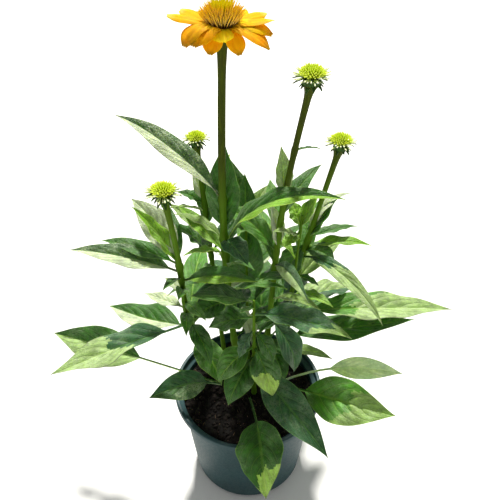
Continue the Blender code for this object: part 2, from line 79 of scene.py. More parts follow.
# Pot and potting mix, as in the part's source
POT_HEIGHT = 0.138
RIM_RADIUS = 0.085
LIP_HEIGHT = 0.007
LIP_WIDTH = 0.004
WALL_TOP_RADIUS = 0.0775
WALL_FOOT_RADIUS = 0.066
FOOT_RADIUS = 0.0625
FOOT_RISE = 0.006
WALL = 0.0015
FLOOR = 0.004
MIX_TOP = 0.127
MIX_RELIEF = 0.0032
MIX_LUMPS = 55          # lumps of the relief in a metre
MIX_FRACTAL = (1.0, 2.0, 4)     # how its octaves fade and shrink, and their count
MIX_DEPTH, MIX_SWING = 0.55, 0.45       # mean depth and half the swing, as shares of the relief

# The finer form of the pot, its mix and its crumbs
POT_SIDES = 160
POT_SHARP = 40
WALL_STEPS = 12
CORNER_STEPS = 5
HOLLOW = 0.0015         # how far the middle of the underside is raised
FOOT_RING = 0.005       # width of the ring that it stands on
RING_SLOPE = 0.001
FOOT_ROUND = 0.0012
FOOT_SPREAD = 0.0003
STEP_ROUND = 0.0014
LIP_FILLET = ((0.0, 0.0012), (0.0008, 0.0003))      # out from the wall, down from the lip
LIP_LOW_ROUND = 0.0009
LIP_ROUND = 0.0016
LIP_INNER_ROUND = 0.001
INNER_DROP = 0.001      # from the lip's foot to the inner wall's top
MIX_SIDES = 120
MIX_RINGS = 34
CRUMB_MARGIN = 0.002
CRUMB_SHARP = 30
CRUMB_SEED = 40
CRUMB_STRETCH = (0.6, 1.3)
CRUMB_ROUGH = (0.7, 1.15)
CRUMB_TIP = 0.5
SPLINTER_LENGTH = (5, 11)
SPLINTER_WIDTH = 0.45
# crumbs: count, least and greatest size in mm
CRUMBS = {
    "dark": (1500, 0.7, 2.4),
    "clod": (240, 2.4, 4.6),
    "russet": (170, 0.5, 1.5),
    "fibre": (120, 0.4, 0.8),
}

# Stems
STEM_SIDES = 24
STEM_STEP = 0.004
STEM_RIDGES = 7
RIDGE_DEPTH = 0.05
RIDGE_TURN = 9.0        # radians that the ridges turn in a metre
NODE_SWELL = 0.22       # share of the radius added where a leaf joins
NODE_LENGTH = 0.0035
FOOT_FLARE = 0.35
FLARE_LENGTH = 0.02
NECK_LENGTH = 0.045     # below the flower
FUNNEL_LENGTH = 0.012   # below a bud
NECK_FLARE = 0.6
NECK_SWELL = 0.60       # how far a stem widens under its bud
FLOWERING_TAPER = 0.12
LEAFY_TAPER = 0.55

# Leaves, as in the part's source
LEAF_FOLD = 20
BLADE_RISE = 0.85
BLADE_FALL = 1.25
STALK_HALF_WIDTH = 0.0012
PETIOLE = 0.12
LEAF_CLEARANCE = 0.0036
ROOT_REACH = 0.010
STEM_SAMPLES = 120
RIB_STEPS = 24

# The finer surface of a leaf
LEAF_STEPS = 72
LEAF_COLUMNS = 21
CROWDING = 1.25         # how far the columns crowd towards the midrib
LEAF_END = 0.997        # where the drawn-out tip is closed
LEAF_THICK = 0.00045
RIB_DEPTH = 0.011       # share of the leaf's length, at its foot
RIB_TAPER = 1.4
RIB_WIDTH = 0.0011
GROOVE_DEPTH = 0.0005
GROOVE_WIDTH = 0.0009
FOLD_ENDS = 16          # degrees of extra fold at foot and tip
HALF_BULGE = 0.10       # how far each half of the blade arches, against its width
WAVE = 0.20             # how far the margin waves, against its width
WAVE_SHARE = (0.4, 1.0)
WAVES = (1.6, 4.2)
SWAY = 5
TWIST = 14
VEINS = 6.5             # side veins to each half
VEIN_SLANT = 2.6        # how many veins further on one is when it nears the margin
VEIN_ARCH = 1.5
QUILT = 0.12            # height of the swellings between veins, against the width
QUILT_LEVEL = 0.6

Shoot = namedtuple("Shoot", "foot tip bow sway radius bud", defaults=[None])
Leaf = namedtuple("Leaf", "height heading rise droop length width roll look petiole", defaults=[PETIOLE])

# shoot: foot (x, y), tip (x, y, z), bow and sway in x, radius, width of its bud
SHOOTS = {
    "main": Shoot((-0.010, 0.017), (-0.018, 0.0, 0.550), -0.008, 0.0, 0.0036),
    "left": Shoot((-0.041, 0.023), (-0.071, -0.020, 0.414), -0.009, -0.004, 0.0029, 0.023),
    "back_left": Shoot((-0.027, 0.036), (-0.047, 0.045, 0.430), 0.0, 0.0, 0.0026, 0.019),
    "right": Shoot((0.017, 0.020), (0.050, 0.0, 0.508), -0.006, 0.002, 0.0030, 0.023),
    "far_right": Shoot((0.029, 0.033), (0.081, 0.020, 0.440), -0.004, 0.0, 0.0028, 0.021),
    "front_shoot": Shoot((0.007, -0.003), (0.006, -0.030, 0.303), 0.0, 0.0, 0.0024),
    "right_shoot": Shoot((0.040, 0.019), (0.051, 0.010, 0.374), 0.0, 0.0, 0.0022),
    "back_shoot": Shoot((0.0, 0.042), (-0.002, 0.050, 0.345), 0.0, 0.0, 0.0023),
}
FLOWER_SHOOT = "main"

# tuft of leaves that rise from the potting mix: place (x, y)
TUFTS = {
    "front_tuft": (0.002, -0.014),
    "right_tuft": (0.036, 0.004),
    "left_tuft": (-0.031, 0.000),
    "back_tuft": (0.014, 0.056),
}

# letter: name, upper side, underside and veins as display colours from 0 to 255, and the strength of the
# painted sheen.
# The looks are partly the leaves' own greens and partly painted light: d, m and y are own greens; p, l, k and
# w are paler copies that paint sunlight; s and g paint sheen and glare; t is a bluish copy that paints shade.
# A leaf's second letter is the look of the half that faces the front or, with a digit after it, of the
# outer part from that tenth of its length; that part carries painted sunlight, sheen and shade.
LOOKS = {
    "d": ("dark", (45, 99, 10), (84, 122, 46), (104, 146, 56), 0.3),
    "t": ("teal", (39, 88, 44), (84, 120, 62), (96, 142, 74), 0.35),
    "g": ("glazed", (62, 100, 50), (92, 124, 70), (118, 154, 90), 1.5),
    "m": ("mid", (68, 124, 22), (106, 144, 58), (138, 176, 72), 0.4),
    "y": ("young", (114, 162, 26), (138, 172, 52), (166, 196, 76), 0.4),
    "p": ("pale", (146, 172, 106), (158, 180, 118), (176, 198, 134), 0.8),
    "l": ("light", (124, 154, 76), (142, 168, 98), (168, 192, 120), 0.5),
    "k": ("lime", (166, 206, 84), (170, 200, 100), (196, 222, 120), 0.4),
    "s": ("silver", (182, 196, 160), (196, 210, 174), (202, 214, 180), 1.0),
    "w": ("frosted", (208, 240, 184), (204, 230, 180), (222, 244, 200), 0.5),
}
# the cycle deals out painted looks too: l paints sunlight, s paints sheen and t paints shade
LOOK_CYCLE = "dmdymdldmmdtms"    # dealt out over the leaves of the filling rule
# Border of a leaf's second look, the part that carries painted light and shade:
OUTER_SLANT = 0.15      # how much further out a leaf's outer look begins at the far margin
OUTER_WAVE = 0.05       # how far the border between two looks waves
OUTER_WAVES = (4, 11)
OUTER_RAG = 0.02        # how ragged that border is
RAG_ALONG = (97, 53)
RAG_ACROSS = (31, 47)

# a leaf: height of its root, heading, mean rise, droop from root to tip, length, width, roll, look, petiole
LEAVES = {
    "main": (
        (0.393, 159, 33, 46, 0.125, 0.024, 23, "gs"),
        (0.331, -22, 39, 80, 0.156, 0.026, -12, "dy"),
        (0.351, 84, 79, 10, 0.093, 0.032, 0, "d"),
        (0.346, -60, 2, 60, 0.048, 0.024, 0, "t"),
        (0.325, -150, 22, 70, 0.052, 0.012, 0, "y"),
        (0.262, 205, -12, 40, 0.043, 0.032, 20, "d"),
    ),
    "back_shoot": (
        (0.245, 84, 84, 10, 0.090, 0.038, 0, "d"),
        (0.314, 96, 82, 10, 0.076, 0.026, 0, "d"),
        (0.333, 120, 64, 20, 0.069, 0.022, 0, "d"),
        (0.336, 40, 49, 20, 0.044, 0.018, 0, "p"),
    ),
    "back_left": (
        (0.365, 130, 59, 10, 0.034, 0.014, 0, "s"),
        (0.362, 175, 28, 50, 0.031, 0.014, 0, "d"),
        (0.317, 160, 41, 25, 0.059, 0.018, 0, "p"),
        (0.297, 175, 47, 30, 0.058, 0.024, 0, "d"),
        (0.334, 60, 80, 10, 0.060, 0.022, 0, "d"),
    ),
    "left": (
        (0.323, 168, 59, 25, 0.079, 0.018, 10, "y"),
        (0.333, 140, 38, 45, 0.077, 0.030, 28, "s"),
        (0.327, 168, 13, 35, 0.080, 0.022, 0, "d"),
        (0.316, -176, 19, 28, 0.107, 0.027, 8, "gs"),
        (0.287, 140, 8, 10, 0.026, 0.014, 0, "s"),
        (0.258, 150, -4, 20, 0.055, 0.018, 0, "s"),
        (0.227, 153, -10, -14, 0.115, 0.040, 4, "ds"),
        (0.233, -169, -18, -3, 0.164, 0.048, -4, "tp4", 0.17),
        (0.303, -24, 20, 31, 0.089, 0.019, -30, "dy"),
        (0.230, -60, -20, 115, 0.062, 0.020, -14, "d"),
        (0.200, -58, -14, 80, 0.066, 0.032, 0, "m"),
    ),
    "right": (
        (0.392, 118, 80, 10, 0.054, 0.018, 0, "p"),
        (0.446, 10, 0, 40, 0.023, 0.008, 30, "t"),
        (0.333, 140, 79, 30, 0.053, 0.018, 0, "s"),
        (0.312, -72, 17, 54, 0.092, 0.015, -42, "tp"),
        (0.232, -42, -58, 80, 0.076, 0.030, -13, "t"),
        (0.205, -70, -30, 70, 0.060, 0.028, -10, "d"),
    ),
    "far_right": (
        (0.339, 30, 37, 100, 0.066, 0.014, 0, "s"),
        (0.330, 15, 60, 25, 0.055, 0.020, 0, "d"),
        (0.336, 20, 0, 30, 0.055, 0.014, 0, "d"),
        (0.323, 0, 2, 45, 0.068, 0.015, 0, "y"),
        (0.317, -30, -3, 120, 0.040, 0.022, 0, "d"),
        (0.333, 158, -70, 20, 0.072, 0.027, 75, "d"),
        (0.310, -54, -2, 84, 0.125, 0.016, -21, "tp3"),
        (0.284, -20, -16, 50, 0.026, 0.010, 0, "d"),
        (0.247, 28, -13, 17, 0.095, 0.030, 4, "pt"),
        (0.228, 7, -6, 13, 0.198, 0.042, -7, "mp3", 0.15),
        (0.188, -2, 12, -15, 0.153, 0.038, -12, "d"),
    ),
    "front_shoot": (
        (0.299, 178, 6, 25, 0.062, 0.026, 0, "gm"),
        (0.280, -22, 3, 45, 0.101, 0.034, 0, "tl7"),
        (0.222, -62, -40, 70, 0.058, 0.032, -20, "dk5"),
        (0.222, -150, -35, 70, 0.056, 0.030, 10, "m"),
        (0.188, -54, -10, 27, 0.128, 0.040, -28, "t"),
        (0.275, 190, -8, 40, 0.047, 0.032, 8, "d"),
        (0.250, -38, -50, 50, 0.040, 0.019, -10, "d"),
        (0.254, -150, -62, 30, 0.038, 0.016, 0, "t"),
        (0.205, -122, -28, 70, 0.062, 0.032, 16, "d"),
    ),
    "right_shoot": (
        (0.358, 35, 57, 30, 0.037, 0.018, 0, "y"),
        (0.358, 115, 41, 20, 0.029, 0.018, 0, "y"),
        (0.352, -140, -20, 60, 0.021, 0.014, 0, "y"),
        (0.181, -25, 9, 30, 0.058, 0.014, 0, "p"),
    ),
    "front_tuft": (
        (0.131, -82, -4, 79, 0.130, 0.052, -20, "dk7", 0.38),
    ),
    "right_tuft": (
        (0.134, -31, 15, -4, 0.144, 0.053, -36, "ml5", 0.25),
        (0.135, -6, 14, 54, 0.148, 0.026, -41, "w", 0.45),
    ),
    "left_tuft": (
        (0.137, -152, 18, 52, 0.095, 0.033, 46, "tg", 0.25),
        (0.137, 163, 5, 10, 0.219, 0.048, 32, "dp", 0.47),
    ),
    "back_tuft": (
        (0.130, 62, 18, 80, 0.150, 0.044, 0, "d", 0.3),
        (0.130, 118, 16, 90, 0.165, 0.048, 0, "t", 0.3),
        (0.130, 90, 36, 62, 0.140, 0.044, 0, "d", 0.3),
        (0.130, 28, 24, 70, 0.120, 0.038, 0, "d", 0.3),
        (0.130, 150, 26, 75, 0.135, 0.042, 0, "m", 0.3),
    ),
}

# leaves grown by rule, where they are clear: count, from z, to z, first heading, greatest length
FILLING = {
    "main": (9, 0.200, 0.345, 150, 0.125),
    "left": (8, 0.195, 0.325, 115, 0.120),
    "back_left": (9, 0.210, 0.355, 80, 0.125),
    "right": (9, 0.200, 0.370, 25, 0.120),
    "far_right": (9, 0.175, 0.330, 75, 0.125),
    "front_shoot": (5, 0.190, 0.290, -60, 0.090),
    "back_shoot": (9, 0.200, 0.325, 100, 0.130),
    "right_shoot": (7, 0.175, 0.345, 30, 0.110),
}
TURN = 137.5
TRIES = 10
TRY_TURN = 27
FRONT_SHARE = 0.5
TOP_SHORTENING = 0.4
LOW_RISE, HIGH_RISE = 2, 32
LOW_DROOP, HIGH_DROOP = 62, 38
SLIMNESS = 0.28
SWING_STEP = 2.4
DROOP_SWING_STEP = 3.1
SWING_LENGTH = 0.12
SWING_RISE = 9
SWING_DROOP = 14
SWING_ROLL = 20
LOOK_STEP = 3
FRONT_LOW = 0.245
CROWN_CENTRE = (0.012, 0.020)
CROWN_REACH = (0.100, 0.165)

# Florets: rings as shares of length and radius
GOLDEN_ANGLE = math.radians(137.5)
POINTED = ((0.0, 0.7), (0.3, 1.0), (0.65, 0.75), (0.92, 0.28))
BLUNT = ((0.0, 0.5), (0.4, 0.8), (0.8, 1.0), (0.96, 0.7))
SPIKE_SIDES = 6
HEAD_SIDES = 32

# Buds: sizes are shares of the bud's width, and levels of its height
BUD_HEIGHT = 0.66
BUD_CORE = ((0.22, 0.0), (0.23, 0.52), (0.30, 0.62), (0.44, 0.64), (0.58, 0.54), (0.70, 0.30), (0.73, 0.0))
BUD_CUP = 0.56
BUD_CUP_LEVELS = (0.22, 0.26)
BUD_FLORETS = 120
BUD_DOME = (0.30, 0.30, 0.27)
BUD_DOME_LEVEL = 0.45
BUD_DOME_EDGE = 88      # degrees from its top
BUD_LIFT = 0.15
BUD_SCATTER = 0.14
BUD_LENGTH = (0.18, 0.03)       # at the top, and what the edge adds
BUD_LENGTHS = (0.8, 1.15)
BUD_RADIUS = (0.032, 0.008)
BUD_BEND = 0.10
FRINGE_FLORETS = 32
FRINGE_DOME = (0.26, 0.26, 0.15)
FRINGE_LEVEL = 0.38
FRINGE_RISE = (-0.28, 0.34)
FRINGE_LENGTHS = (0.34, 0.50)
FRINGE_RADIUS = 0.028
FRINGE_BEND = 0.14
# a row of bracts: count, level in the bud, rise, droop, length, width
BRACT_ROWS = ((11, 0.28, -2, 30, 0.70, 0.12), (9, 0.14, -36, 34, 0.54, 0.16))
BRACT_STAGGER = 0.3
BRACT_SWING = 9
BRACT_LENGTHS = (0.86, 1.1)
BRACT_STEPS = 10
BRACT_COLUMNS = 5
BRACT_END = 0.98
BRACT_FOOT = 0.06
BRACT_SWELL = 0.75
BRACT_EDGE = 0.00015
BRACT_THICK = 0.0005
BRACT_CUP = 0.5

# The flower: calyx and cone
FLOWER_SEED = 11
RECEPTACLE_RADIUS = 0.012
RECEPTACLE_HEIGHT = 0.0045
CALYX_RADIUS = 0.0075
CALYX_BRACTS = 18
CALYX_LEVEL = 0.0012
CALYX_SWING = 5
CALYX_RISE = (-14, 0)
CALYX_DROOP = 40
CALYX_LENGTHS = (0.010, 0.012)
CALYX_WIDTH = 0.0030
CONE_WIDTH = 0.038
CONE_HEIGHT = 0.0195
CONE_CORE = 0.0092      # radius of the dark core
CONE_CORE_SHARES = ((0.0, 0.0), (0.0, 0.80), (0.12, 1.0), (0.35, 0.92), (0.50, 0.60), (0.60, 0.0))
CONE_FLORETS = 340
CONE_ROOTS = (0.50, 0.46)       # level of the middle floret's root, and how far the outermost is below it
CONE_TOP = 0.98
CONE_SHOULDER = 0.42    # how far the outermost floret ends below the top, against the height
CONE_ROUNDING = 1.5
CONE_SEED = 5
CONE_LENGTHS = (0.90, 1.04)
CONE_SCATTER = 0.05
CONE_BEND = 0.04
HEART_SHARE = 0.24      # the share of them that is still young and green
FLORET_RADIUS = 0.00050
HEART_RADIUS = 0.00066

# Petals
PETAL_WIDTH = 0.017
PETAL_INSET = 0.5
PETAL_LEVEL = 0.4
PETAL_STEPS = 30
PETAL_COLUMNS = 15
PETAL_THICK = 0.0004
PETAL_OUTLINE = ((0.0, 0.55), (0.25, 0.88), (0.5, 1.0), (0.72, 0.96), (0.88, 0.66), (1.0, 0.22))
PETAL_SOFTENING = 5     # points over which the outline is averaged
PETAL_ROLL, PETAL_SWAY, PETAL_TWIST = 8, 3, 10
PETAL_WIDTHS = (0.94, 1.10)
PETAL_CUP = (0.10, 0.28)
PETAL_RIBS = 3
PETAL_RIB_DEPTH = 0.00025
PETAL_RIPPLE = 0.0006
PETAL_RIPPLES = 7
PETAL_NOTCH = 0.03
PETAL_NOTCH_START = 10

# petal: heading, mean rise, droop, length from the cone's edge, share of the common width, tone
PETALS = (
    (180, 13, 22, 0.022, 0.8, 0), (213, -19, 125, 0.021, 1.2, 3), (230, -15, 108, 0.017, 1.4, 3),
    (249, -36, 80, 0.011, 0.95, 3), (273, -8, 50, 0.007, 0.9, 2), (303, -38, 80, 0.012, 0.85, 3),
    (334, -19, 78, 0.024, 1.0, 3), (350, -8, 75, 0.021, 1.0, 1), (4, 6, 30, 0.020, 1.1, 0),
    (26, 8, 30, 0.018, 1.0, 0), (60, 6, 30, 0.014, 1.0, 1), (95, 6, 30, 0.012, 1.0, 0),
    (125, 6, 30, 0.013, 1.0, 1), (152, 12, 25, 0.018, 1.1, 0),
)

# Materials. Colours are display colours from 0 to 255, and a grain's scale is in waves to the metre.
# The painted sheen on leaves: the pale colour of its patches, and how far they pale the leaf.
PAINTED_SHEEN_COLOUR = (206, 218, 184)
PAINTED_SHEEN_SHARE = 0.38
MARGIN = (66, 62, 48)   # of a pale leaf; a darker one has a margin in its veins' colour
PALE_FROM = 165
SHEEN_COLOUR = (0.86, 1.0, 0.68)
# grains of a leaf: the first also speckles the painted sheen, and the third places its patches
LEAF_HAIRS_AND_GLINTS, LEAF_MOTTLE, LEAF_SHEEN_PATCHES, LEAF_WEB = 620, 90, 34, 520
STEM_STREAKS, STEM_BLUSHES, STEM_HAIRS = 900, 30, 1600
FLORET_GRAIN = 700
PETAL_CLOUDS, PETAL_GRAIN, PETAL_STRIPES = 90, 800, 3.0
POT_GRAIN, POT_MARKS, POT_SPECKS = 420, 26, 160
STEM_LOW, STEM_HIGH, STEM_STREAK, STEM_BLUSH = (74, 112, 16), (48, 58, 0), (78, 92, 16), (58, 48, 20)
POT_SLATE, POT_DUST = (21, 59, 63), (64, 88, 90)
# tone of a petal: its name, and its colours at the foot, at the end and on the tip. The tones are partly the
# petals' own amber and yellow and partly painted light: deep is a darker copy for the petals that the key
# lights from behind, and gold a brighter copy for the front petal that lies in the cone's shadow.
PETAL_TONES = (
    ("deep", (230, 168, 0), (224, 152, 0), (186, 192, 96)),
    ("amber", (255, 200, 0), (250, 166, 2), (124, 106, 8)),
    ("gold", (255, 208, 12), (255, 206, 12), (255, 202, 12)),
    ("ochre", (224, 166, 0), (206, 134, 0), (104, 94, 10)),
)
# florets: material, colours at the foot, midway and at the tip, and where the first change starts and ends
FLORET_LOOKS = {
    "bud": ("bud_florets", (164, 186, 22), (204, 222, 40), (220, 236, 100), 0.15, 0.5),
    "fringe": ("bud_fringe", (120, 148, 56), (176, 196, 120), (232, 238, 204), 0.15, 0.5),
    "cone_florets": ("cone_florets_gold", (44, 28, 12), (220, 190, 98), (226, 180, 14), 0.15, 0.42),
    "cone_heart": ("cone_florets_green", (120, 100, 4), (196, 186, 10), (222, 206, 16), 0.1, 0.4),
}
# plain matter: material, colour, roughness, scale of its grain, depth of its relief
PLAIN_LOOKS = {
    "bud_core": ("bud_core_green", (110, 136, 22), 0.7, 300, 0.0003),
    "bract": ("bract_green", (46, 76, 22), 0.6, 260, 0.0002),
    "cone_core": ("cone_core_brown", (50, 26, 8), 0.8, 500, 0.0004),
    "mix": ("mix_dark", (13, 11, 9), 0.95, 320, 0.0012),
    "mix_dark": ("mix_crumb_dark", (20, 16, 13), 0.95, 500, 0.0006),
    "mix_clod": ("mix_clod_dark", (30, 25, 22), 0.95, 420, 0.0010),
    "mix_russet": ("mix_crumb_russet", (58, 42, 36), 0.92, 500, 0.0006),
    "mix_fibre": ("mix_fibre_tan", (112, 90, 70), 0.85, 400, 0.0004),
}


def linked(name, data):
    """A new object in the scene."""
    made = bpy.data.objects.new(name, data)
    bpy.context.scene.collection.objects.link(made)
    return made


class Gathered:
    """Vertices, UVs, faces and material slots of many like forms, joined into one mesh."""

    def __init__(self):
        self.verts, self.uvs, self.faces, self.slots = [], [], [], []
        self.count = 0

    def add(self, verts, uvs, *faces, slots=0):
        """faces are arrays of quads or triangles; slots are one number, or one for each face."""
        self.verts.append(np.reshape(verts, (-1, 3)))
        self.uvs.append(np.reshape(uvs, (-1, 2)))
        for group in faces:
            self.faces += (np.asarray(group) + self.count).tolist()
        self.slots.append(np.broadcast_to(slots, sum(map(len, faces))))
        self.count += len(self.verts[-1])

    def piece(self, name, finishes, sharp=SMOOTH_UP_TO):
        """The joined mesh as an object, shaded smooth up to an angle."""
        mesh = bpy.data.meshes.new(name)
        mesh.from_pydata(np.concatenate(self.verts), [], self.faces)
        for finish in finishes:
            mesh.materials.append(finish)
        mesh.polygons.foreach_set("material_index", np.concatenate(self.slots).astype(np.int32))
        corners = np.zeros(len(mesh.loops), np.int32)
        mesh.loops.foreach_get("vertex_index", corners)
        layer = mesh.uv_layers.new(name="surface")
        layer.uv.foreach_set("vector", np.concatenate(self.uvs)[corners].astype(np.float32).ravel())
        mesh.shade_smooth()
        mesh.set_sharp_from_angle(angle=math.radians(sharp))
        mesh.update()
        return linked(name, mesh)


def dress(piece, slot, *nodes):
    """Puts a piece on the frame and hides the nodes that it stands for; slot is not used."""
    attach(piece, BODY)
    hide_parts(*nodes)


def between(first, second):
    """Quads between two rows of points, or between two grids of them."""
    return np.stack([first[:-1], second[:-1], second[1:], first[1:]], -1).reshape(-1, 4)


def sheet_faces(steps, columns):
    """Quads of a closed sheet, and their sides: an upper grid, a lower grid after it, and the rim."""
    index = np.arange((steps + 1) * columns).reshape(-1, columns)
    under = index + index.size
    upper = between(index[:, :-1], index[:, 1:])
    lower = between(under.T[:, :-1], under.T[:, 1:])
    rim = [between(index[:, -1], under[:, -1]), between(index[0], under[0])]
    for pair in (np.stack([index[:, 0], under[:, 0]]), np.stack([index[-1], under[-1]])):
        rim.append(between(pair[:, :-1], pair[:, 1:]))
    sides = np.repeat([0, 1, 0], [len(upper), len(lower), sum(map(len, rim))])
    return np.concatenate([upper, lower, *rim]), sides


def sheet(points, up, top, bottom, line, along):
    """Vertices and UVs of a closed sheet round a grid of points: its upper side, then its lower side."""
    verts = [points + up[:, None] * height[..., None] for height in (top, bottom)]
    uv = np.stack(np.broadcast_arrays(0.5 + 0.5 * line, along), -1)
    return np.stack(verts), np.stack([uv, uv])


def tube_faces(rings, sides):
    """Quads of a tube's side and triangles of its two ends, whose middles are the last two points."""
    index = np.arange(rings * sides).reshape(rings, sides)
    after = np.roll(index, -1, axis=1)
    foot = np.full(sides, rings * sides)
    low = np.stack([foot, after[0], index[0]], -1)
    high = np.stack([foot + 1, index[-1], after[-1]], -1)
    return between(index, after), np.concatenate([low, high])


def turned(profile, sides, place=0.0):
    """A turned form from (radius, height) pairs that run from axis to axis, outer side upward."""
    angle = math.tau * np.arange(sides) / sides
    rings = []
    for radius, height in profile[1:-1]:
        rings.append(np.stack([radius * np.cos(angle), radius * np.sin(angle), np.full(sides, height)], 1))
    ends = np.array([(0.0, 0.0, profile[0][1]), (0.0, 0.0, profile[-1][1])])
    verts = np.concatenate(rings + [ends])
    uvs = np.stack([np.arctan2(verts[:, 1], verts[:, 0]) / math.tau, verts[:, 2]], 1)
    return verts + place, uvs, *tube_faces(len(rings), sides)


def make_turned(name, finish, slot, node, *form, sharp=SMOOTH_UP_TO):
    """A piece that is one turned form."""
    made = Gathered()
    made.add(*turned(*form))
    dress(made.piece(name, [finish], sharp), slot, node)


def arc(centre, radius, start, end):
    """Points of a round corner in a profile."""
    turns = [math.radians(start + (end - start) * step / CORNER_STEPS) for step in range(CORNER_STEPS + 1)]
    return [(centre[0] + radius * math.cos(a), centre[1] + radius * math.sin(a)) for a in turns]


def stem_point(shoot, height):
    """The middle of a shoot's stem at a height."""
    foot, tip, bow, sway, *_rest = SHOOTS[shoot]
    share = (height - MIX_TOP) / (tip[2] - MIX_TOP)
    x = foot[0] + (tip[0] - foot[0]) * share
    x += bow * math.sin(math.pi * share) + sway * math.sin(math.tau * share)
    return Vector((x, foot[1] + (tip[1] - foot[1]) * share, height))


def stem_radius(shoot, height):
    """Tapers upward, with a flare at the potting mix and another below a head."""
    _foot, tip, _bow, _sway, radius, bud = SHOOTS[shoot]
    share = (height - MIX_TOP) / (tip[2] - MIX_TOP)
    flare = FOOT_FLARE * math.exp(-(height - MIX_TOP) / FLARE_LENGTH)
    if not bud and shoot != FLOWER_SHOOT:
        return radius * (1.0 - LEAFY_TAPER * share + flare)
    reach = FUNNEL_LENGTH if bud else NECK_LENGTH
    neck = NECK_FLARE * max(0.0, 1.0 - (tip[2] - height) / reach) ** 2
    return radius * (1.0 - FLOWERING_TAPER * share + flare + neck)


def rib(root, leaf):
    """Points along a leaf's midrib, with the direction at each."""
    points, ways = [Vector(root)], []
    turn = math.radians(leaf.heading)
    for step in range(RIB_STEPS):
        climb = math.radians(leaf.rise + leaf.droop * (0.5 - (step + 0.5) / RIB_STEPS))
        way = Vector((math.cos(climb) * math.cos(turn), math.cos(climb) * math.sin(turn), math.sin(climb)))
        points.append(points[-1] + way * leaf.length / RIB_STEPS)
        ways.append(way)
    ways.append(ways[-1])
    return points, ways


def lance(along):
    """How wide a lance-shaped blade is along its length, 1 at its widest."""
    widest = BLADE_RISE / (BLADE_RISE + BLADE_FALL)
    return (along / widest) ** BLADE_RISE * ((1.0 - along) / (1.0 - widest)) ** BLADE_FALL


def half_width(leaf, share):
    """Half the width of a leaf at a share of its length."""
    if share <= leaf.petiole:
        return STALK_HALF_WIDTH
    along = (share - leaf.petiole) / (1.0 - leaf.petiole)
    return max(leaf.width / 2 * lance(along), STALK_HALF_WIDTH * (1.0 - along))


def leaf_cloud(root, leaf):
    """Points over a leaf's blade, for measuring how clear it is."""
    points, ways = rib(root, leaf)
    turn, tilt, fold = math.radians(leaf.heading), math.radians(leaf.roll), math.radians(LEAF_FOLD)
    flat = Vector((math.sin(turn), -math.cos(turn), 0.0))
    cloud = []
    for step, (point, way) in enumerate(zip(points, ways)):
        if (point - points[0]).length < ROOT_REACH:
            continue
        across = flat * math.cos(tilt) + flat.cross(way) * math.sin(tilt)
        half = half_width(leaf, step / RIB_STEPS)
        lift = across.cross(way) * (half * math.sin(fold))
        reach = across * (half * math.cos(fold))
        cloud.append(point)
        for edge in (point - reach + lift, point + reach + lift):
            cloud += [point.lerp(edge, share) for share in (1 / 3, 2 / 3, 1.0)]
    return cloud


def stem_cloud(shoot):
    """Points down the middle of a stem."""
    rise = SHOOTS[shoot].tip[2] - MIX_TOP
    return [stem_point(shoot, MIX_TOP + rise * step / STEM_SAMPLES) for step in range(STEM_SAMPLES + 1)]


def root_of(owner, leaf):
    """Where a leaf starts: on its shoot's stem, or in its tuft."""
    if owner in TUFTS:
        return Vector((*TUFTS[owner], leaf.height))
    return stem_point(owner, leaf.height)


def filling_leaf(shoot, index, attempt):
    """One leaf of the filling rule: lower ones and those at the back are longer."""
    count, low, high, first, longest = FILLING[shoot]
    share = index / (count - 1)
    heading = (first + TURN * index + TRY_TURN * attempt) % 360
    behind = (1.0 + math.sin(math.radians(heading))) / 2
    length = longest * (1.0 - TOP_SHORTENING * share) * (FRONT_SHARE + (1.0 - FRONT_SHARE) * behind)
    swing = math.sin(SWING_STEP * index + first)
    droop_swing = math.cos(DROOP_SWING_STEP * index + first)
    length *= 1.0 + SWING_LENGTH * swing
    rise = LOW_RISE + (HIGH_RISE - LOW_RISE) * share + SWING_RISE * swing
    droop = LOW_DROOP + (HIGH_DROOP - LOW_DROOP) * share + SWING_DROOP * droop_swing
    look = LOOK_CYCLE[(index * LOOK_STEP + first) % len(LOOK_CYCLE)]
    return Leaf(low + (high - low) * share, heading, rise, droop, length, SLIMNESS * length,
                SWING_ROLL * swing, look)


def fits(leaf, cloud, taken):
    """Whether a leaf of the rule is in the crown's oval, above mix and rim, and clear of the taken points.

    The bare lower stems show at the front, so none hangs before them.
    """
    if leaf.height <= FRONT_LOW and math.sin(math.radians(leaf.heading)) <= 0.0:
        return False
    for point in cloud:
        across = (point.x - CROWN_CENTRE[0]) / CROWN_REACH[0]
        along = (point.y - CROWN_CENTRE[1]) / CROWN_REACH[1]
        spread = math.hypot(point.x, point.y)
        floor = POT_HEIGHT if spread > WALL_FOOT_RADIUS else MIX_TOP
        low = spread < RIM_RADIUS + LEAF_CLEARANCE and point.z < floor + LEAF_CLEARANCE
        if low or across * across + along * along > 1.0:
            return False
    return all(taken.find(point)[2] > LEAF_CLEARANCE for point in cloud)


def point_tree(points):
    """The points in order, for finding the nearest of them."""
    tree = KDTree(len(points))
    for index, point in enumerate(points):
        tree.insert(point, index)
    tree.balance()
    return tree


def all_leaves():
    """Every leaf, by owner: the named ones, then those of the filling rule that are clear."""
    grown = {owner: [Leaf(*row) for row in rows] for owner, rows in LEAVES.items()}
    taken = [point for shoot in SHOOTS for point in stem_cloud(shoot)]
    for owner, leaves in grown.items():
        for leaf in leaves:
            taken += leaf_cloud(root_of(owner, leaf), leaf)
    for index, shoot in sorted((index, shoot) for shoot in FILLING for index in range(FILLING[shoot][0])):
        tree = point_tree(taken)
        for attempt in range(TRIES):
            leaf = filling_leaf(shoot, index, attempt)
            cloud = leaf_cloud(root_of(shoot, leaf), leaf)
            if fits(leaf, cloud, tree):
                grown[shoot].append(leaf)
                taken += cloud
                break
    return grown


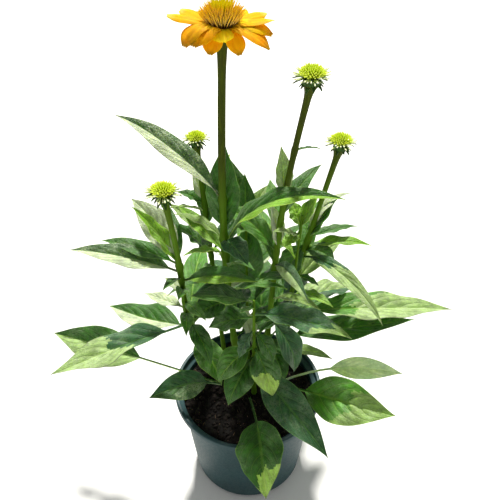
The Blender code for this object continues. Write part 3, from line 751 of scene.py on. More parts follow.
def blade_frame(root, heading, rise, droop, length, roll, steps, sway=0.0, twist=0.0, end=1.0):
    """Along a blade: its middle, and unit vectors across, along and up, as arrays."""
    share = np.linspace(0.0, end, steps + 1)
    turn = np.radians(heading + sway * np.sin(math.tau * share))
    climb = np.radians(rise + droop * (0.5 - share))
    way = np.stack([np.cos(climb) * np.cos(turn), np.cos(climb) * np.sin(turn), np.sin(climb)], 1)
    hops = (way[1:] + way[:-1]) * (length * end / steps / 2)
    middle = np.array(root) + np.concatenate([np.zeros((1, 3)), np.cumsum(hops, axis=0)])
    flat = np.stack([np.sin(turn), -np.cos(turn), np.zeros(len(turn))], 1)
    tilt = np.radians(roll + twist * share)[:, None]
    across = flat * np.cos(tilt) + np.cross(flat, way) * np.sin(tilt)
    return share, middle, across, way, np.cross(across, way)


def painted_light_part(look, along, forward, phases):
    """Where on a leaf its second look, with its painted light and shade, lies: on the half that faces the
    front, or on its outer part.
    """
    if not look[2:]:
        return forward > 0
    slow, fast = [np.sin(count * forward + phase) for count, phase in zip(OUTER_WAVES, phases)]
    first, second = [near * along for near in RAG_ALONG]
    rag = np.sin(first + RAG_ACROSS[0] * forward) * np.sin(second - RAG_ACROSS[1] * forward)
    uneven = OUTER_WAVE * (slow + 0.5 * fast) + OUTER_RAG * rag
    return along + OUTER_SLANT * forward + uneven > int(look[2:]) / 10


def add_leaf(gathered, root, leaf, rng):
    """One leaf with its folded, quilted and waved blade, its midrib and its stalk."""
    sway, twist = SWAY * rng.uniform(-1, 1), TWIST * rng.uniform(-1, 1)
    waves, wave = rng.uniform(*WAVES), WAVE * rng.uniform(*WAVE_SHARE)
    phases = [rng.uniform(0, math.tau), rng.uniform(0, math.tau)]
    share, middle, across, _way, up = blade_frame(
        root, leaf.heading, leaf.rise, leaf.droop, leaf.length, leaf.roll, LEAF_STEPS, sway, twist, LEAF_END)
    along = np.clip((share - leaf.petiole) / (1.0 - leaf.petiole), 0.0, 1.0)[:, None]
    blade = lance(along)
    half = np.hypot(leaf.width / 2 * blade, STALK_HALF_WIDTH * (1.0 - along) + LEAF_THICK / 2)
    line = np.linspace(-1.0, 1.0, LEAF_COLUMNS)[None, :]
    line = np.sign(line) * np.abs(line) ** CROWDING
    out = np.abs(line)
    fold = np.radians(LEAF_FOLD - FOLD_ENDS / 3 + FOLD_ENDS * (2 * along - 1) ** 2)
    ripple = np.sin(math.tau * waves * along + np.where(line < 0, *phases))
    swelling = np.abs(np.sin(math.pi * (VEINS * along - VEIN_SLANT * out ** VEIN_ARCH))) - QUILT_LEVEL
    height = out * half * np.sin(fold)
    height += HALF_BULGE * half * blade * np.sin(math.pi * out)
    height += wave * half * blade * out ** 2 * ripple
    height += QUILT * half * blade * np.sin(math.pi * np.sqrt(out)) * swelling
    fade = 1.0 - share[:, None]
    groove = GROOVE_DEPTH * fade * np.exp(-(out * half / GROOVE_WIDTH) ** 2)
    ridge = RIB_DEPTH * leaf.length * fade ** RIB_TAPER * np.exp(-(out * half / RIB_WIDTH) ** 2)
    top, bottom = height + LEAF_THICK / 2 - groove, height - LEAF_THICK / 2 - ridge
    points = middle[:, None] + across[:, None] * (line * half * np.cos(fold))[..., None]
    quads, slots = sheet_faces(LEAF_STEPS, LEAF_COLUMNS)
    # a second look paints light and shade on part of the upper side
    if len(leaf.look) > 1:
        second = painted_light_part(leaf.look, along, -line * np.sign(across[:, 1:2]), phases).ravel()
        slots = np.where((slots == 0) & second[quads[:, 0] % second.size], 2, slots)
    gathered.add(*sheet(points, up, top, bottom, line, along), quads, slots=slots)


def make_leaves(owner, leaves, finishes):
    """A shoot's or tuft's leaves, one piece for each look."""
    for look in sorted({leaf.look[:2] for leaf in leaves}):
        gathered = Gathered()
        for index, leaf in enumerate(leaves):
            if leaf.look[:2] == look:
                add_leaf(gathered, root_of(owner, leaf), leaf, random.Random(f"{owner} {index}"))
        name = "_".join(LOOKS[letter][0] for letter in look)
        sides = finishes[look[0]] + finishes[look[-1]][:1]
        dress(gathered.piece(f"leaves_{owner}_{name}", sides), "foliage", f"leaves_{owner}")


def make_stem(shoot, leaves, finish):
    """A shoot's whole stem, ribbed, and swollen where leaves join."""
    low, high = MIX_TOP - MIX_RELIEF, SHOOTS[shoot].tip[2] - GAP
    count = math.ceil((high - low) / STEM_STEP) + 1
    heights = np.linspace(low, high, count)
    middles = np.array([stem_point(shoot, height) for height in heights])
    radii = np.array([stem_radius(shoot, max(height, MIX_TOP)) for height in heights])
    for leaf in leaves:
        radii *= 1.0 + NODE_SWELL * np.exp(-((heights - leaf.height) / NODE_LENGTH) ** 2)
    nodes = [f"stem_{shoot}", f"stalk_{shoot}"]
    if SHOOTS[shoot].bud:
        radii *= 1.0 + NECK_SWELL * np.exp((heights - high) / FUNNEL_LENGTH)
    elif shoot != FLOWER_SHOOT:
        nodes = nodes[:1]
    angle = math.tau * np.arange(STEM_SIDES) / STEM_SIDES
    ridges = 1.0 + RIDGE_DEPTH * np.cos(STEM_RIDGES * angle[None, :] + RIDGE_TURN * heights[:, None])
    spread = radii[:, None] * ridges
    rings = middles[:, None] + np.stack(
        [spread * np.cos(angle), spread * np.sin(angle), np.zeros_like(spread)], -1)
    verts = np.concatenate([rings.reshape(-1, 3), middles[:1], middles[-1:]])
    uvs = np.stack([np.append(np.tile(angle / math.tau, count), (0, 0)), verts[:, 2]], 1)
    stem = Gathered()
    stem.add(verts, uvs, *tube_faces(count, STEM_SIDES))
    dress(stem.piece(f"shoot_{shoot}", [finish]), "stem", *nodes)


def unit(ways):
    return ways / np.linalg.norm(ways, axis=1, keepdims=True)


def spiral(count):
    """Even shares between 0 and 1, and as many flat unit vectors, each a golden angle on from the last."""
    turn = np.arange(count) * GOLDEN_ANGLE
    return (np.arange(count) + 0.5) / count, np.stack([np.cos(turn), np.sin(turn), np.zeros(count)], 1)


def make_spikes(name, finish, slot, node, roots, ways, lengths, radii, bend, rings=POINTED):
    """A piece of slender florets, each from its root along its own way and bending upward."""
    helper = np.where(np.abs(ways[:, 2:]) > 0.9, [[1.0, 0.0, 0.0]], [[0.0, 0.0, 1.0]])
    first = unit(np.cross(ways, helper))
    second = np.cross(ways, first)
    angle = math.tau * np.arange(SPIKE_SIDES) / SPIKE_SIDES
    turn, rise = np.cos(angle)[None, :, None], np.sin(angle)[None, :, None]
    round_ways = first[:, None] * turn + second[:, None] * rise
    radii = np.broadcast_to(radii, len(roots))

    def middle(share):
        return roots + (ways * share + np.array([0.0, 0.0, bend]) * share ** 2) * lengths[:, None]

    loops = []
    for share, wide in rings:
        loops.append(middle(share)[:, None] + round_ways * (radii * wide)[:, None, None])
    verts = np.concatenate(loops + [np.stack([roots, middle(1.0)], 1)], axis=1)
    faces = tube_faces(len(rings), SPIKE_SIDES)
    shares = np.append(np.repeat([share for share, _wide in rings], SPIKE_SIDES), (0.0, 1.0))
    florets = Gathered()
    for index, points in enumerate(verts):
        florets.add(points, np.stack([np.full(len(shares), index / len(verts)), shares], 1), *faces)
    dress(florets.piece(name, [finish]), slot, node)


def add_bract(gathered, root, heading, rise, droop, length, width):
    """A small pointed leaf under a head."""
    share, middle, across, _way, up = blade_frame(
        root, heading, rise, droop, length, 0, BRACT_STEPS, end=BRACT_END)
    swell = np.sin(math.pi * np.clip(share, BRACT_FOOT, 1.0) ** BRACT_SWELL)
    half = (width / 2 * swell + BRACT_EDGE)[:, None]
    line = np.linspace(-1.0, 1.0, BRACT_COLUMNS)[None, :]
    height = BRACT_CUP * half * line ** 2
    points = middle[:, None] + across[:, None] * (half * line)[..., None]
    form = sheet(points, up, height + BRACT_THICK / 2, height - BRACT_THICK / 2, line, share[:, None])
    gathered.add(*form, sheet_faces(BRACT_STEPS, BRACT_COLUMNS)[0])


def make_bud(shoot, finishes):
    """A green bud: a dome of pointed florets, a fringe of pale ray tips and two rows of bracts."""
    tip, width = np.array(SHOOTS[shoot].tip), SHOOTS[shoot].bud
    height, neck = width * BUD_HEIGHT, stem_radius(shoot, tip[2]) * (1.0 + NECK_SWELL)
    size, up = np.array([width, width, height]), np.array([0.0, 0.0, height])
    node = f"bud_{shoot}"
    rng = np.random.default_rng(len(shoot))
    profile = [(width / 2 * wide, height * level) for level, wide in BUD_CORE]
    make_turned(f"{node}_core", finishes["bud_core"], "bud", node, profile, HEAD_SIDES, tip)
    share, ways = spiral(BUD_FLORETS)
    level = 1.0 - share * (1.0 - math.cos(math.radians(BUD_DOME_EDGE)))
    ways *= np.sqrt(1.0 - level ** 2)[:, None]
    ways[:, 2] = level
    roots = tip + up * BUD_DOME_LEVEL + ways * (size * BUD_DOME)
    aims = ways + [0.0, 0.0, BUD_LIFT] + rng.uniform(-BUD_SCATTER, BUD_SCATTER, ways.shape)
    lengths = width * (BUD_LENGTH[0] + BUD_LENGTH[1] * share) * rng.uniform(*BUD_LENGTHS, len(share))
    radii = width * (BUD_RADIUS[0] + BUD_RADIUS[1] * share)
    make_spikes(f"{node}_florets", finishes["bud"], "bud", node, roots, unit(aims), lengths, radii, BUD_BEND)
    _share, aims = spiral(FRINGE_FLORETS)
    aims[:, 2] = rng.uniform(*FRINGE_RISE, FRINGE_FLORETS)
    aims = unit(aims)
    roots = tip + up * FRINGE_LEVEL + aims * (size * FRINGE_DOME)
    lengths = width * rng.uniform(*FRINGE_LENGTHS, FRINGE_FLORETS)
    make_spikes(f"{node}_fringe", finishes["fringe"], "bud", node, roots, aims, lengths,
                width * FRINGE_RADIUS, FRINGE_BEND, BLUNT)
    bracts = Gathered()
    rim = (width / 2 * BUD_CUP, height * BUD_CUP_LEVELS[0])
    cup = [(0.0, -GAP), (neck, -GAP), rim, (0.0, height * BUD_CUP_LEVELS[1])]
    bracts.add(*turned(cup, HEAD_SIDES, tip))
    for count, level, rise, droop, reach, wide in BRACT_ROWS:
        for index in range(count):
            heading = 360 * (index + BRACT_STAGGER * level) / count + rng.uniform(-BRACT_SWING, BRACT_SWING)
            length = width * reach * rng.uniform(*BRACT_LENGTHS)
            tilt = rise + rng.uniform(-BRACT_SWING, BRACT_SWING)
            add_bract(bracts, tip + up * level, heading, tilt, droop, length, width * wide)
    dress(bracts.piece(f"{node}_bracts", [finishes["bract"]]), "bud", node)


def add_petal(gathered, root, heading, rise, droop, length, wide, tone, rng):
    """A strap-shaped petal with long ribs and a notched, blunt tip."""
    roll, sway, twist = [rng.uniform(-reach, reach) for reach in (PETAL_ROLL, PETAL_SWAY, PETAL_TWIST)]
    share, middle, across, way, up = blade_frame(
        root, heading, rise, droop, length, roll, PETAL_STEPS, sway, twist)
    outline = np.interp(share, *zip(*PETAL_OUTLINE))
    even = np.ones(PETAL_SOFTENING) / PETAL_SOFTENING
    outline = np.convolve(np.pad(outline, PETAL_SOFTENING // 2, "edge"), even, "valid")[:, None]
    half = PETAL_WIDTH / 2 * wide * outline * rng.uniform(*PETAL_WIDTHS)
    line = np.linspace(-1.0, 1.0, PETAL_COLUMNS)[None, :]
    along = share[:, None]
    ribs = np.cos(PETAL_RIBS * math.pi * line)
    height = -rng.uniform(*PETAL_CUP) * half * line ** 2 + PETAL_RIB_DEPTH * ribs * outline
    height += PETAL_RIPPLE * np.sin(PETAL_RIPPLES * along + rng.uniform(0, 6)) * line
    notch = -PETAL_NOTCH * length * (0.5 - 0.5 * ribs) * along ** PETAL_NOTCH_START
    points = middle[:, None] + across[:, None] * (half * line)[..., None] + way[:, None] * notch[..., None]
    form = sheet(points, up, height + PETAL_THICK / 2, height - PETAL_THICK / 2, line, along)
    gathered.add(*form, sheet_faces(PETAL_STEPS, PETAL_COLUMNS)[0], slots=tone)


def make_flower(finishes):
    """The open flower: receptacle, bracts, petals, and a cone of long-pointed florets."""
    tip = np.array(SHOOTS[FLOWER_SHOOT].tip)
    rng = random.Random(FLOWER_SEED)
    level = RECEPTACLE_HEIGHT * PETAL_LEVEL
    profile = [(0.0, -GAP), (stem_radius(FLOWER_SHOOT, tip[2]), -GAP), (CALYX_RADIUS, level / 2),
               (CALYX_RADIUS, level), (0.0, level)]
    base = Gathered()
    base.add(*turned(profile, HEAD_SIDES, tip))
    for index in range(CALYX_BRACTS):
        heading = 360 / CALYX_BRACTS * index + rng.uniform(-CALYX_SWING, CALYX_SWING)
        rise, length = rng.uniform(*CALYX_RISE), rng.uniform(*CALYX_LENGTHS)
        add_bract(base, tip + [0.0, 0.0, CALYX_LEVEL], heading, rise, CALYX_DROOP, length, CALYX_WIDTH)
    dress(base.piece("flower_calyx", [finishes["bract"]]), "stem", "petals")
    petals = Gathered()
    inset = RECEPTACLE_RADIUS * PETAL_INSET
    for heading, rise, droop, length, wide, tone in PETALS:
        turn = math.radians(heading)
        root = tip + [inset * math.cos(turn), inset * math.sin(turn), level]
        add_petal(petals, root, heading, rise, droop, length + CONE_WIDTH / 2 - inset, wide, tone, rng)
    dress(petals.piece("petals_open", finishes["petals"]), "petal", "petals")
    make_cone(tip + [0.0, 0.0, level], finishes)


def make_cone(foot, finishes):
    """The flower's cone: long florets that fan out from a dark core, the youngest green ones on top."""
    profile = [(CONE_CORE * wide, CONE_HEIGHT * level) for level, wide in CONE_CORE_SHARES]
    make_turned("cone_core", finishes["cone_core"], "cone", "flower_cone", profile, HEAD_SIDES, foot)
    rng = np.random.default_rng(CONE_SEED)
    share, flat = spiral(CONE_FLORETS)
    flat *= np.sqrt(share)[:, None]
    up = np.array([0.0, 0.0, CONE_HEIGHT])
    roots = foot + flat * CONE_CORE + (CONE_ROOTS[0] - CONE_ROOTS[1] * share)[:, None] * up
    tips = foot + flat * CONE_WIDTH / 2 + (CONE_TOP - CONE_SHOULDER * share ** CONE_ROUNDING)[:, None] * up
    spans = tips - roots
    lengths = np.linalg.norm(spans, axis=1) * rng.uniform(*CONE_LENGTHS, CONE_FLORETS)
    aims = unit(unit(spans) + rng.uniform(-CONE_SCATTER, CONE_SCATTER, spans.shape))
    ring = share > HEART_SHARE
    for name, chosen, radius in (("cone_florets", ring, FLORET_RADIUS), ("cone_heart", ~ring, HEART_RADIUS)):
        make_spikes(name, finishes[name], "cone", "flower_cone", roots[chosen], aims[chosen], lengths[chosen],
                    radius, CONE_BEND)


def make_pot(finish):
    """A tapered pot with a rolled lip and a drawn-in foot."""
    lip_low = POT_HEIGHT - LIP_HEIGHT
    rim_inner = RIM_RADIUS - LIP_WIDTH
    ring_inner = FOOT_RADIUS - FOOT_RING
    profile = [(0.0, HOLLOW), (ring_inner - RING_SLOPE, HOLLOW), (ring_inner, 0.0)]
    profile += arc((FOOT_RADIUS - FOOT_ROUND, FOOT_ROUND), FOOT_ROUND, -90, 0)
    profile += [(FOOT_RADIUS + FOOT_SPREAD, FOOT_RISE - FOOT_ROUND)]
    profile += arc((WALL_FOOT_RADIUS - STEP_ROUND, FOOT_RISE + STEP_ROUND), STEP_ROUND, -60, 0)
    for step in range(1, WALL_STEPS):
        share = step / WALL_STEPS
        radius = WALL_FOOT_RADIUS + (WALL_TOP_RADIUS - WALL_FOOT_RADIUS) * share
        profile.append((radius, FOOT_RISE + (lip_low - FOOT_RISE) * share))
    profile += [(WALL_TOP_RADIUS + out, lip_low - down) for out, down in LIP_FILLET]
    profile += arc((RIM_RADIUS - LIP_LOW_ROUND, lip_low + LIP_LOW_ROUND), LIP_LOW_ROUND, -90, 0)
    profile += arc((RIM_RADIUS - LIP_ROUND, POT_HEIGHT - LIP_ROUND), LIP_ROUND, 0, 90)
    profile += arc((rim_inner + LIP_INNER_ROUND, POT_HEIGHT - LIP_INNER_ROUND), LIP_INNER_ROUND, 90, 180)
    profile += [(rim_inner, lip_low + WALL), (WALL_TOP_RADIUS - WALL, lip_low - INNER_DROP)]
    profile += [(WALL_FOOT_RADIUS - WALL, FLOOR), (0.0, FLOOR)]
    make_turned("pot_shell", finish, "pot_plastic", "pot", profile, POT_SIDES, sharp=POT_SHARP)


def inner_radius(height):
    """The pot's inner radius at a height below the lip."""
    share = (height - FLOOR) / (POT_HEIGHT - LIP_HEIGHT - FLOOR)
    return WALL_FOOT_RADIUS + (WALL_TOP_RADIUS - WALL_FOOT_RADIUS) * share - WALL


def mix_height(x, y):
    """The uneven top of the potting mix."""
    rough = noise.fractal(Vector((x, y, 0.0)) * MIX_LUMPS, *MIX_FRACTAL)
    return MIX_TOP - MIX_RELIEF * (MIX_DEPTH - MIX_SWING * rough)


def make_mix(finishes):
    """The potting mix: an uneven plug with crumbs of several kinds strewn on it."""
    low, edge = FLOOR + GAP, inner_radius(MIX_TOP) - 2 * GAP
    profile = [(0.0, low), (inner_radius(low) - 2 * GAP, low), (edge, MIX_TOP - MIX_RELIEF)]
    profile += [(edge * (MIX_RINGS - ring) / MIX_RINGS, MIX_TOP) for ring in range(1, MIX_RINGS + 1)]
    verts, uvs, *faces = turned(profile, MIX_SIDES)
    for vert in verts:
        if vert[2] == MIX_TOP:
            vert[2] = mix_height(vert[0], vert[1])
    plug = Gathered()
    plug.add(verts, uvs, *faces)
    dress(plug.piece("mix_surface", [finishes["mix"]]), "potting_mix", "potting_mix")
    for number, (kind, (count, least, most)) in enumerate(CRUMBS.items()):
        crumbs = Gathered()
        rng = np.random.default_rng(CRUMB_SEED + number)
        for _crumb in range(count):
            spread, turn = (edge - CRUMB_MARGIN) * math.sqrt(rng.uniform(0, 1)), rng.uniform(0, math.tau)
            x, y = spread * math.cos(turn), spread * math.sin(turn)
            size = rng.uniform(least, most) * MM
            add_crumb(crumbs, (x, y, mix_height(x, y)), size, rng, kind == "fibre")
        piece = crumbs.piece(f"mix_crumbs_{kind}", [finishes[f"mix_{kind}"]], CRUMB_SHARP)
        dress(piece, "potting_mix", "potting_mix")


def icosahedron():
    """Corners and faces of a regular solid with twenty faces."""
    golden = (1 + math.sqrt(5)) / 2
    corners = []
    for a in (-1, 1):
        for b in (-golden, golden):
            corners += [(a, b, 0), (0, a, b), (b, 0, a)]
    corners = np.array(corners) / math.hypot(1, golden)
    nearest = 1.2       # longer than an edge, shorter than the next distance
    faces = []
    for trio in combinations(range(len(corners)), 3):
        if max(math.dist(corners[i], corners[j]) for i, j in combinations(trio, 2)) < nearest:
            first, second, third = corners[list(trio)]
            outward = np.dot(np.cross(second - first, third - first), first)
            faces.append(trio if outward > 0 else (trio[0], trio[2], trio[1]))
    return corners, np.array(faces)


CRUMB_CORNERS, CRUMB_FACES = icosahedron()


def add_crumb(gathered, place, size, rng, long):
    """An uneven lump, or a thin splinter, of random shape and turn."""
    stretch = rng.uniform(*CRUMB_STRETCH, 3)
    if long:
        stretch = np.array([rng.uniform(*SPLINTER_LENGTH), SPLINTER_WIDTH, SPLINTER_WIDTH])
    lump = CRUMB_CORNERS * rng.uniform(*CRUMB_ROUGH, (12, 1)) * stretch * size
    turn, tip = rng.uniform(0, math.tau), rng.uniform(-CRUMB_TIP, CRUMB_TIP)
    flat = np.array([[math.cos(turn), math.sin(turn), 0], [-math.sin(turn), math.cos(turn), 0], [0, 0, 1]])
    lean = np.array([[math.cos(tip), 0, math.sin(tip)], [0, 1, 0], [-math.sin(tip), 0, math.cos(tip)]])
    gathered.add(lump @ lean @ flat + place, np.zeros((12, 2)), CRUMB_FACES)


def linear(colour):
    """A display colour from 0 to 255 as the linear values that shaders take."""
    shares = [value / 255 for value in colour]
    return tuple(s / 12.92 if s <= 0.04045 else ((s + 0.055) / 1.055) ** 2.4 for s in shares)


def tinted(colour, factor):
    return tuple(min(1.0, channel * factor) for channel in colour)


def with_painted_sheen(colour):
    """A leaf's colour under a painted pale sheen."""
    pales = linear(PAINTED_SHEEN_COLOUR)
    return tuple((1 - PAINTED_SHEEN_SHARE) * channel + PAINTED_SHEEN_SHARE * pale for channel, pale in zip(colour, pales))


class Finish:
    """A Principled material and the nodes that drive it."""

    def __init__(self, name, colour, roughness):
        self.material = bpy.data.materials.new(name)
        self.material.use_nodes = True
        self.tree = self.material.node_tree
        self.shader = self.tree.nodes["Principled BSDF"]
        self.material.diffuse_color = (*colour, 1.0)
        self.material.roughness = roughness
        self.set(Base_Color=colour, Roughness=roughness)
        self.place = self.node("TexCoord", {}).outputs["Object"]

    def set(self, **values):
        """Sets plain values or links on the shader; an underscore in a name stands for a space."""
        for name, value in values.items():
            self.feed(self.shader.inputs[name.replace("_", " ")], value)

    def feed(self, socket, value):
        if isinstance(value, bpy.types.NodeSocket):
            self.tree.links.new(value, socket)
        else:
            socket.default_value = (*value, 1.0) if socket.type == "RGBA" else value

    def node(self, kind, inputs, **settings):
        """A new node with its settings, and its inputs by name or number."""
        made = self.tree.nodes.new(f"ShaderNode{kind}")
        for name, value in settings.items():
            setattr(made, name, value)
        for key, value in inputs.items():
            self.feed(made.inputs[key], value)
        return made

    def noise(self, scale, detail=3.0, stretch=None, rough=0.55):
        """Noise from 0 to 1 over the piece's own place, with its grain drawn out by stretch."""
        place = self.place
        if stretch:
            place = self.node("Mapping", {"Vector": place, "Scale": stretch}).outputs["Vector"]
        inputs = {"Vector": place, "Scale": scale, "Detail": detail, "Roughness": rough}
        return self.node("TexNoise", inputs).outputs["Fac"]

    def cells(self, scale):
        """Distance to the edge of small cells, 0 on the edge."""
        inputs = {"Vector": self.place, "Scale": scale}
        return self.node("TexVoronoi", inputs, feature="DISTANCE_TO_EDGE").outputs["Distance"]

    def surface(self):
        """The two coordinates of the surface's own map."""
        uv = self.node("UVMap", {}, uv_map="surface").outputs["UV"]
        return self.node("SeparateXYZ", {"Vector": uv}).outputs[:2]

    def math(self, operation, *values):
        return self.node("Math", dict(enumerate(values)), operation=operation).outputs["Value"]

    def ramp(self, value, low, high, start=0.0, end=1.0):
        """value from low to high, eased, as start to end."""
        inputs = {"Value": value, "From Min": low, "From Max": high, "To Min": start, "To Max": end}
        return self.node("MapRange", inputs, interpolation_type="SMOOTHSTEP").outputs["Result"]

    def mix(self, share, first, second):
        return self.node("Mix", {0: share, 6: first, 7: second}, data_type="RGBA").outputs[2]

    def bump(self, height, strength, distance):
        inputs = {"Height": height, "Strength": strength, "Distance": distance}
        self.set(Normal=self.node("Bump", inputs).outputs["Normal"])


def leaf_finish(name, colour, veins, roughness, relief, strength):
    """A leaf's side: arching veins, painted pale sheen, painted shade along the side veins and darker margins
    over mottled green.
    """
    base, line = linear(colour), linear(veins)
    leaf = Finish(name, base, roughness)
    x, y = leaf.surface()
    out = leaf.math("ABSOLUTE", leaf.math("MULTIPLY_ADD", x, 2.0, -1.0))
    slant = leaf.math("MULTIPLY", leaf.math("POWER", out, VEIN_ARCH), VEIN_SLANT)
    wave = leaf.math("PINGPONG", leaf.math("SUBTRACT", leaf.math("MULTIPLY", y, VEINS), slant), 0.5)
    side = leaf.math("MULTIPLY", leaf.ramp(wave, 0.0, 0.09, 1.0, 0.0), leaf.ramp(out, 0.6, 1.0, 1.0, 0.3))
    middle = leaf.ramp(out, 0.02, 0.10, 1.0, 0.0)
    fine = leaf.noise(LEAF_HAIRS_AND_GLINTS, 4.0, rough=0.7)
    mottle = leaf.ramp(leaf.noise(LEAF_MOTTLE, 5.0, rough=0.7), 0.3, 0.7)
    # painted sheen: speckled pale patches that stand in for sheen and glints of the light
    painted_sheen = leaf.ramp(leaf.noise(LEAF_SHEEN_PATCHES, 6.0, rough=0.7), 0.46, 0.62, 0.0, strength)
    green = leaf.mix(mottle, tinted(base, 0.62), tinted(base, 1.32))
    # painted shade: darker towards the side veins, in the furrows between the swellings
    green = leaf.mix(leaf.ramp(wave, 0.0, 0.35, 0.5, 0.0), green, tinted(base, 0.55))
    green = leaf.mix(leaf.math("MULTIPLY", painted_sheen, leaf.ramp(fine, 0.35, 0.6)), green, with_painted_sheen(base))
    green = leaf.mix(leaf.math("MULTIPLY", side, 0.4), green, line)
    green = leaf.mix(leaf.math("MULTIPLY", middle, 0.75), green, line)
    edge = leaf.math("MAXIMUM", leaf.ramp(out, 0.93, 1.0, 0.0, 0.55), leaf.ramp(y, 0.93, 1.0, 0.0, 0.6))
    margin = linear(MARGIN) if max(colour) > PALE_FROM else line
    web = leaf.ramp(leaf.cells(LEAF_WEB), 0.0, 0.25, 0.0, 0.5)
    height = leaf.math("ADD", web, leaf.math("MULTIPLY", leaf.math("MAXIMUM", side, middle), relief))
    leaf.bump(leaf.math("ADD", height, mottle), 0.8, 0.0006)
    leaf.set(
        Base_Color=leaf.mix(edge, green, margin),
        Roughness=leaf.ramp(fine, 0.25, 0.75, roughness - 0.06, roughness + 0.14),
        Specular_IOR_Level=0.4,
        Subsurface_Weight=0.35, Subsurface_Scale=0.0015, Subsurface_Radius=(0.8, 1.0, 0.25),
        Sheen_Weight=0.5 * strength, Sheen_Roughness=0.35, Sheen_Tint=SHEEN_COLOUR)
    return leaf.material


def stem_finish():
    """Olive above, greener below, in long fine streaks with short hairs in the bump."""
    stem = Finish("stem_ribbed", linear(STEM_HIGH), 0.6)
    _x, y = stem.surface()
    green = stem.mix(stem.ramp(y, 0.36, 0.45), linear(STEM_LOW), linear(STEM_HIGH))
    streak = stem.noise(STEM_STREAKS, stretch=(1.0, 1.0, 0.06))
    green = stem.mix(stem.ramp(streak, 0.4, 0.7, 0.0, 0.45), green, linear(STEM_STREAK))
    blush = stem.ramp(stem.noise(STEM_BLUSHES), 0.55, 0.75, 0.0, 0.35)
    stem.set(Base_Color=stem.mix(blush, green, linear(STEM_BLUSH)), Specular_IOR_Level=0.1,
             Roughness=stem.ramp(streak, 0.3, 0.7, 0.6, 0.8))
    stem.bump(stem.noise(STEM_HAIRS, 2.0, stretch=(1.0, 1.0, 0.3)), 0.5, 0.0003)
    return stem.material


def floret_finish(name, foot, middle, tip, start, end):
    """Slender florets that turn from one colour at the foot to others along their way to the tip."""
    floret = Finish(name, linear(tip), 0.6)
    _x, y = floret.surface()
    shade = floret.mix(floret.ramp(y, start, end), linear(foot), linear(middle))
    shade = floret.mix(floret.ramp(y, end, 0.9), shade, linear(tip))
    grain = floret.noise(FLORET_GRAIN, 2.0)
    light = tinted(linear(tip), 1.25)
    floret.set(Base_Color=floret.mix(floret.ramp(grain, 0.3, 0.8, 0.0, 0.3), shade, light))
    floret.set(Roughness=floret.ramp(grain, 0.3, 0.7, 0.5, 0.7), Specular_IOR_Level=0.15)
    floret.bump(grain, 0.3, 0.0002)
    floret.set(Subsurface_Weight=0.3, Subsurface_Scale=0.001, Subsurface_Radius=(0.9, 0.9, 0.1))
    return floret.material


def plain_finish(name, colour, roughness, scale, depth):
    """One mottled colour with a grain of its own."""
    base = linear(colour)
    made = Finish(name, base, roughness)
    grain = made.noise(scale, 4.0)
    made.set(Base_Color=made.mix(made.ramp(grain, 0.3, 0.7), tinted(base, 0.6), tinted(base, 1.5)))
    made.set(Roughness=made.ramp(grain, 0.3, 0.7, roughness - 0.08, min(1.0, roughness + 0.08)))
    made.bump(grain, 0.6, depth)
    made.set(Specular_IOR_Level=0.2)
    return made.material


def petal_finish(name, foot, end, tip):
    """Warm yellow that changes from foot to end, with an olive tip, in fine long streaks."""
    petal = Finish(f"petal_{name}", linear(end), 0.7)
    x, y = petal.surface()
    gold = petal.mix(petal.ramp(y, 0.15, 0.7), linear(foot), linear(end))
    stripes = petal.math("PINGPONG", petal.math("MULTIPLY", x, PETAL_STRIPES), 0.5)
    gold = petal.mix(petal.ramp(stripes, 0.0, 0.16, 0.4, 0.0), gold, tinted(linear(end), 0.7))
    cloud = petal.noise(PETAL_CLOUDS)
    gold = petal.mix(petal.ramp(cloud, 0.35, 0.7, 0.0, 0.5), gold, tinted(linear(foot), 1.1))
    petal.bump(petal.noise(PETAL_GRAIN, 2.0), 0.3, 0.0002)
    petal.set(
        Base_Color=petal.mix(petal.ramp(y, 0.78, 1.0, 0.0, 0.8), gold, linear(tip)),
        Roughness=petal.ramp(cloud, 0.3, 0.7, 0.6, 0.8),
        Specular_IOR_Level=0.08,
        Subsurface_Weight=0.6, Subsurface_Scale=0.0025, Subsurface_Radius=(1.0, 0.7, 0.1),
        Sheen_Weight=0.15, Sheen_Roughness=0.4, Sheen_Tint=(1.0, 0.72, 0.1))
    return petal.material


def pot_finish():
    """Satin slate plastic with faint flow marks, a fine grain and a little dust."""
    slate = linear(POT_SLATE)
    pot = Finish("pot_slate", slate, 0.42)
    grain = pot.noise(POT_GRAIN)
    marks = pot.ramp(pot.noise(POT_MARKS, 4.0), 0.3, 0.7)
    colour = pot.mix(marks, tinted(slate, 0.9), tinted(slate, 1.12))
    speck = pot.ramp(pot.noise(POT_SPECKS, 5.0), 0.62, 0.8, 0.0, 0.25)
    pot.set(Base_Color=pot.mix(speck, colour, linear(POT_DUST)))
    pot.set(Roughness=pot.ramp(grain, 0.3, 0.75, 0.52, 0.68))
    pot.bump(grain, 0.10, 0.0002)
    return pot.material


def make_finishes():
    """All the materials, by name; a leaf look has one for each side."""
    made = {"stem": stem_finish(), "pot": pot_finish()}
    made["petals"] = [petal_finish(*tone) for tone in PETAL_TONES]
    for letter, (name, upper, under, veins, painted_sheen) in LOOKS.items():
        # the painted sheen's strength also sets the shader's sheen weight
        made[letter] = [leaf_finish(f"leaf_{name}_upper", upper, veins, 0.42, -0.5, painted_sheen),
                        leaf_finish(f"leaf_{name}_under", under, veins, 0.58, 0.8, painted_sheen)]
    for key, look in FLORET_LOOKS.items():
        made[key] = floret_finish(*look)
    for key, look in PLAIN_LOOKS.items():
        made[key] = plain_finish(*look)
    return made


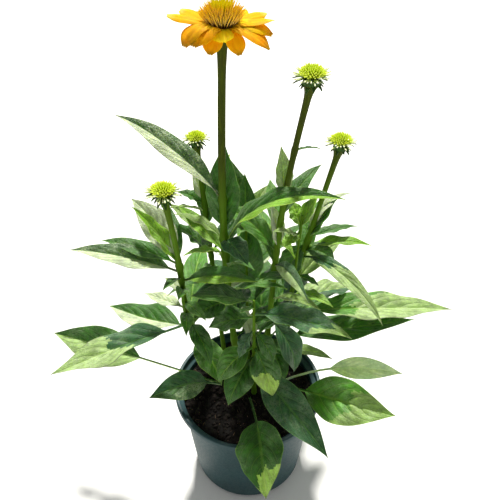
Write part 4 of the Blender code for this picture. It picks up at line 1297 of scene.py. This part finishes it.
def make_camera():
    camera = linked("camera", bpy.data.cameras.new("camera"))
    camera.data.lens = LENS
    camera.data.sensor_width = SENSOR
    camera.data.clip_start = CAMERA_NEAR
    camera.location = CAMERA_PLACE
    camera.rotation_euler = (math.radians(90 - CAMERA_PITCH), 0.0, 0.0)
    bpy.context.scene.camera = camera


def make_light():
    """An even white surround, and a soft key that stands high behind the plant."""
    world = bpy.data.worlds.new("surround")
    bpy.context.scene.world = world
    world.use_nodes = True
    background = world.node_tree.nodes["Background"]
    background.inputs["Color"].default_value = (*SKY_COLOUR, 1.0)
    background.inputs["Strength"].default_value = SKY_STRENGTH
    key = linked("key", bpy.data.lights.new("key", "SUN"))
    key.data.energy = KEY_STRENGTH
    key.data.angle = math.radians(KEY_SOFTNESS)
    key.data.color = KEY_COLOUR
    turn, climb = math.radians(KEY_HEADING), math.radians(KEY_HEIGHT)
    towards = Vector((math.cos(turn) * math.cos(climb), math.sin(turn) * math.cos(climb), math.sin(climb)))
    key.rotation_mode = "QUATERNION"
    key.rotation_quaternion = towards.to_track_quat("Z", "Y")


def make_floor():
    """A plain pale floor."""
    dark, mean, light = [(tone,) * 3 for tone in FLOOR_TONES]
    finish = Finish("floor_pale", mean, 0.8)
    finish.set(Base_Color=finish.mix(finish.noise(FLOOR_GRAIN), dark, light))
    side = FLOOR_SIDE / 2
    corners = [(-side, -side, -GAP), (side, -side, -GAP), (side, side, -GAP), (-side, side, -GAP)]
    floor = Gathered()
    floor.add(corners, [(0, 0), (1, 0), (1, 1), (0, 1)], [(0, 1, 2, 3)])
    floor.piece("floor", [finish.material])


def main():
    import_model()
    bpy.context.scene.view_settings.view_transform = "Standard"
    make_camera()
    make_light()
    make_floor()
    finishes = make_finishes()
    grown = all_leaves()
    for owner, leaves in grown.items():
        make_leaves(owner, leaves, finishes)
    for shoot in SHOOTS:
        make_stem(shoot, grown[shoot], finishes["stem"])
        if SHOOTS[shoot].bud:
            make_bud(shoot, finishes)
    make_flower(finishes)
    make_pot(finishes["pot"])
    make_mix(finishes)


main()
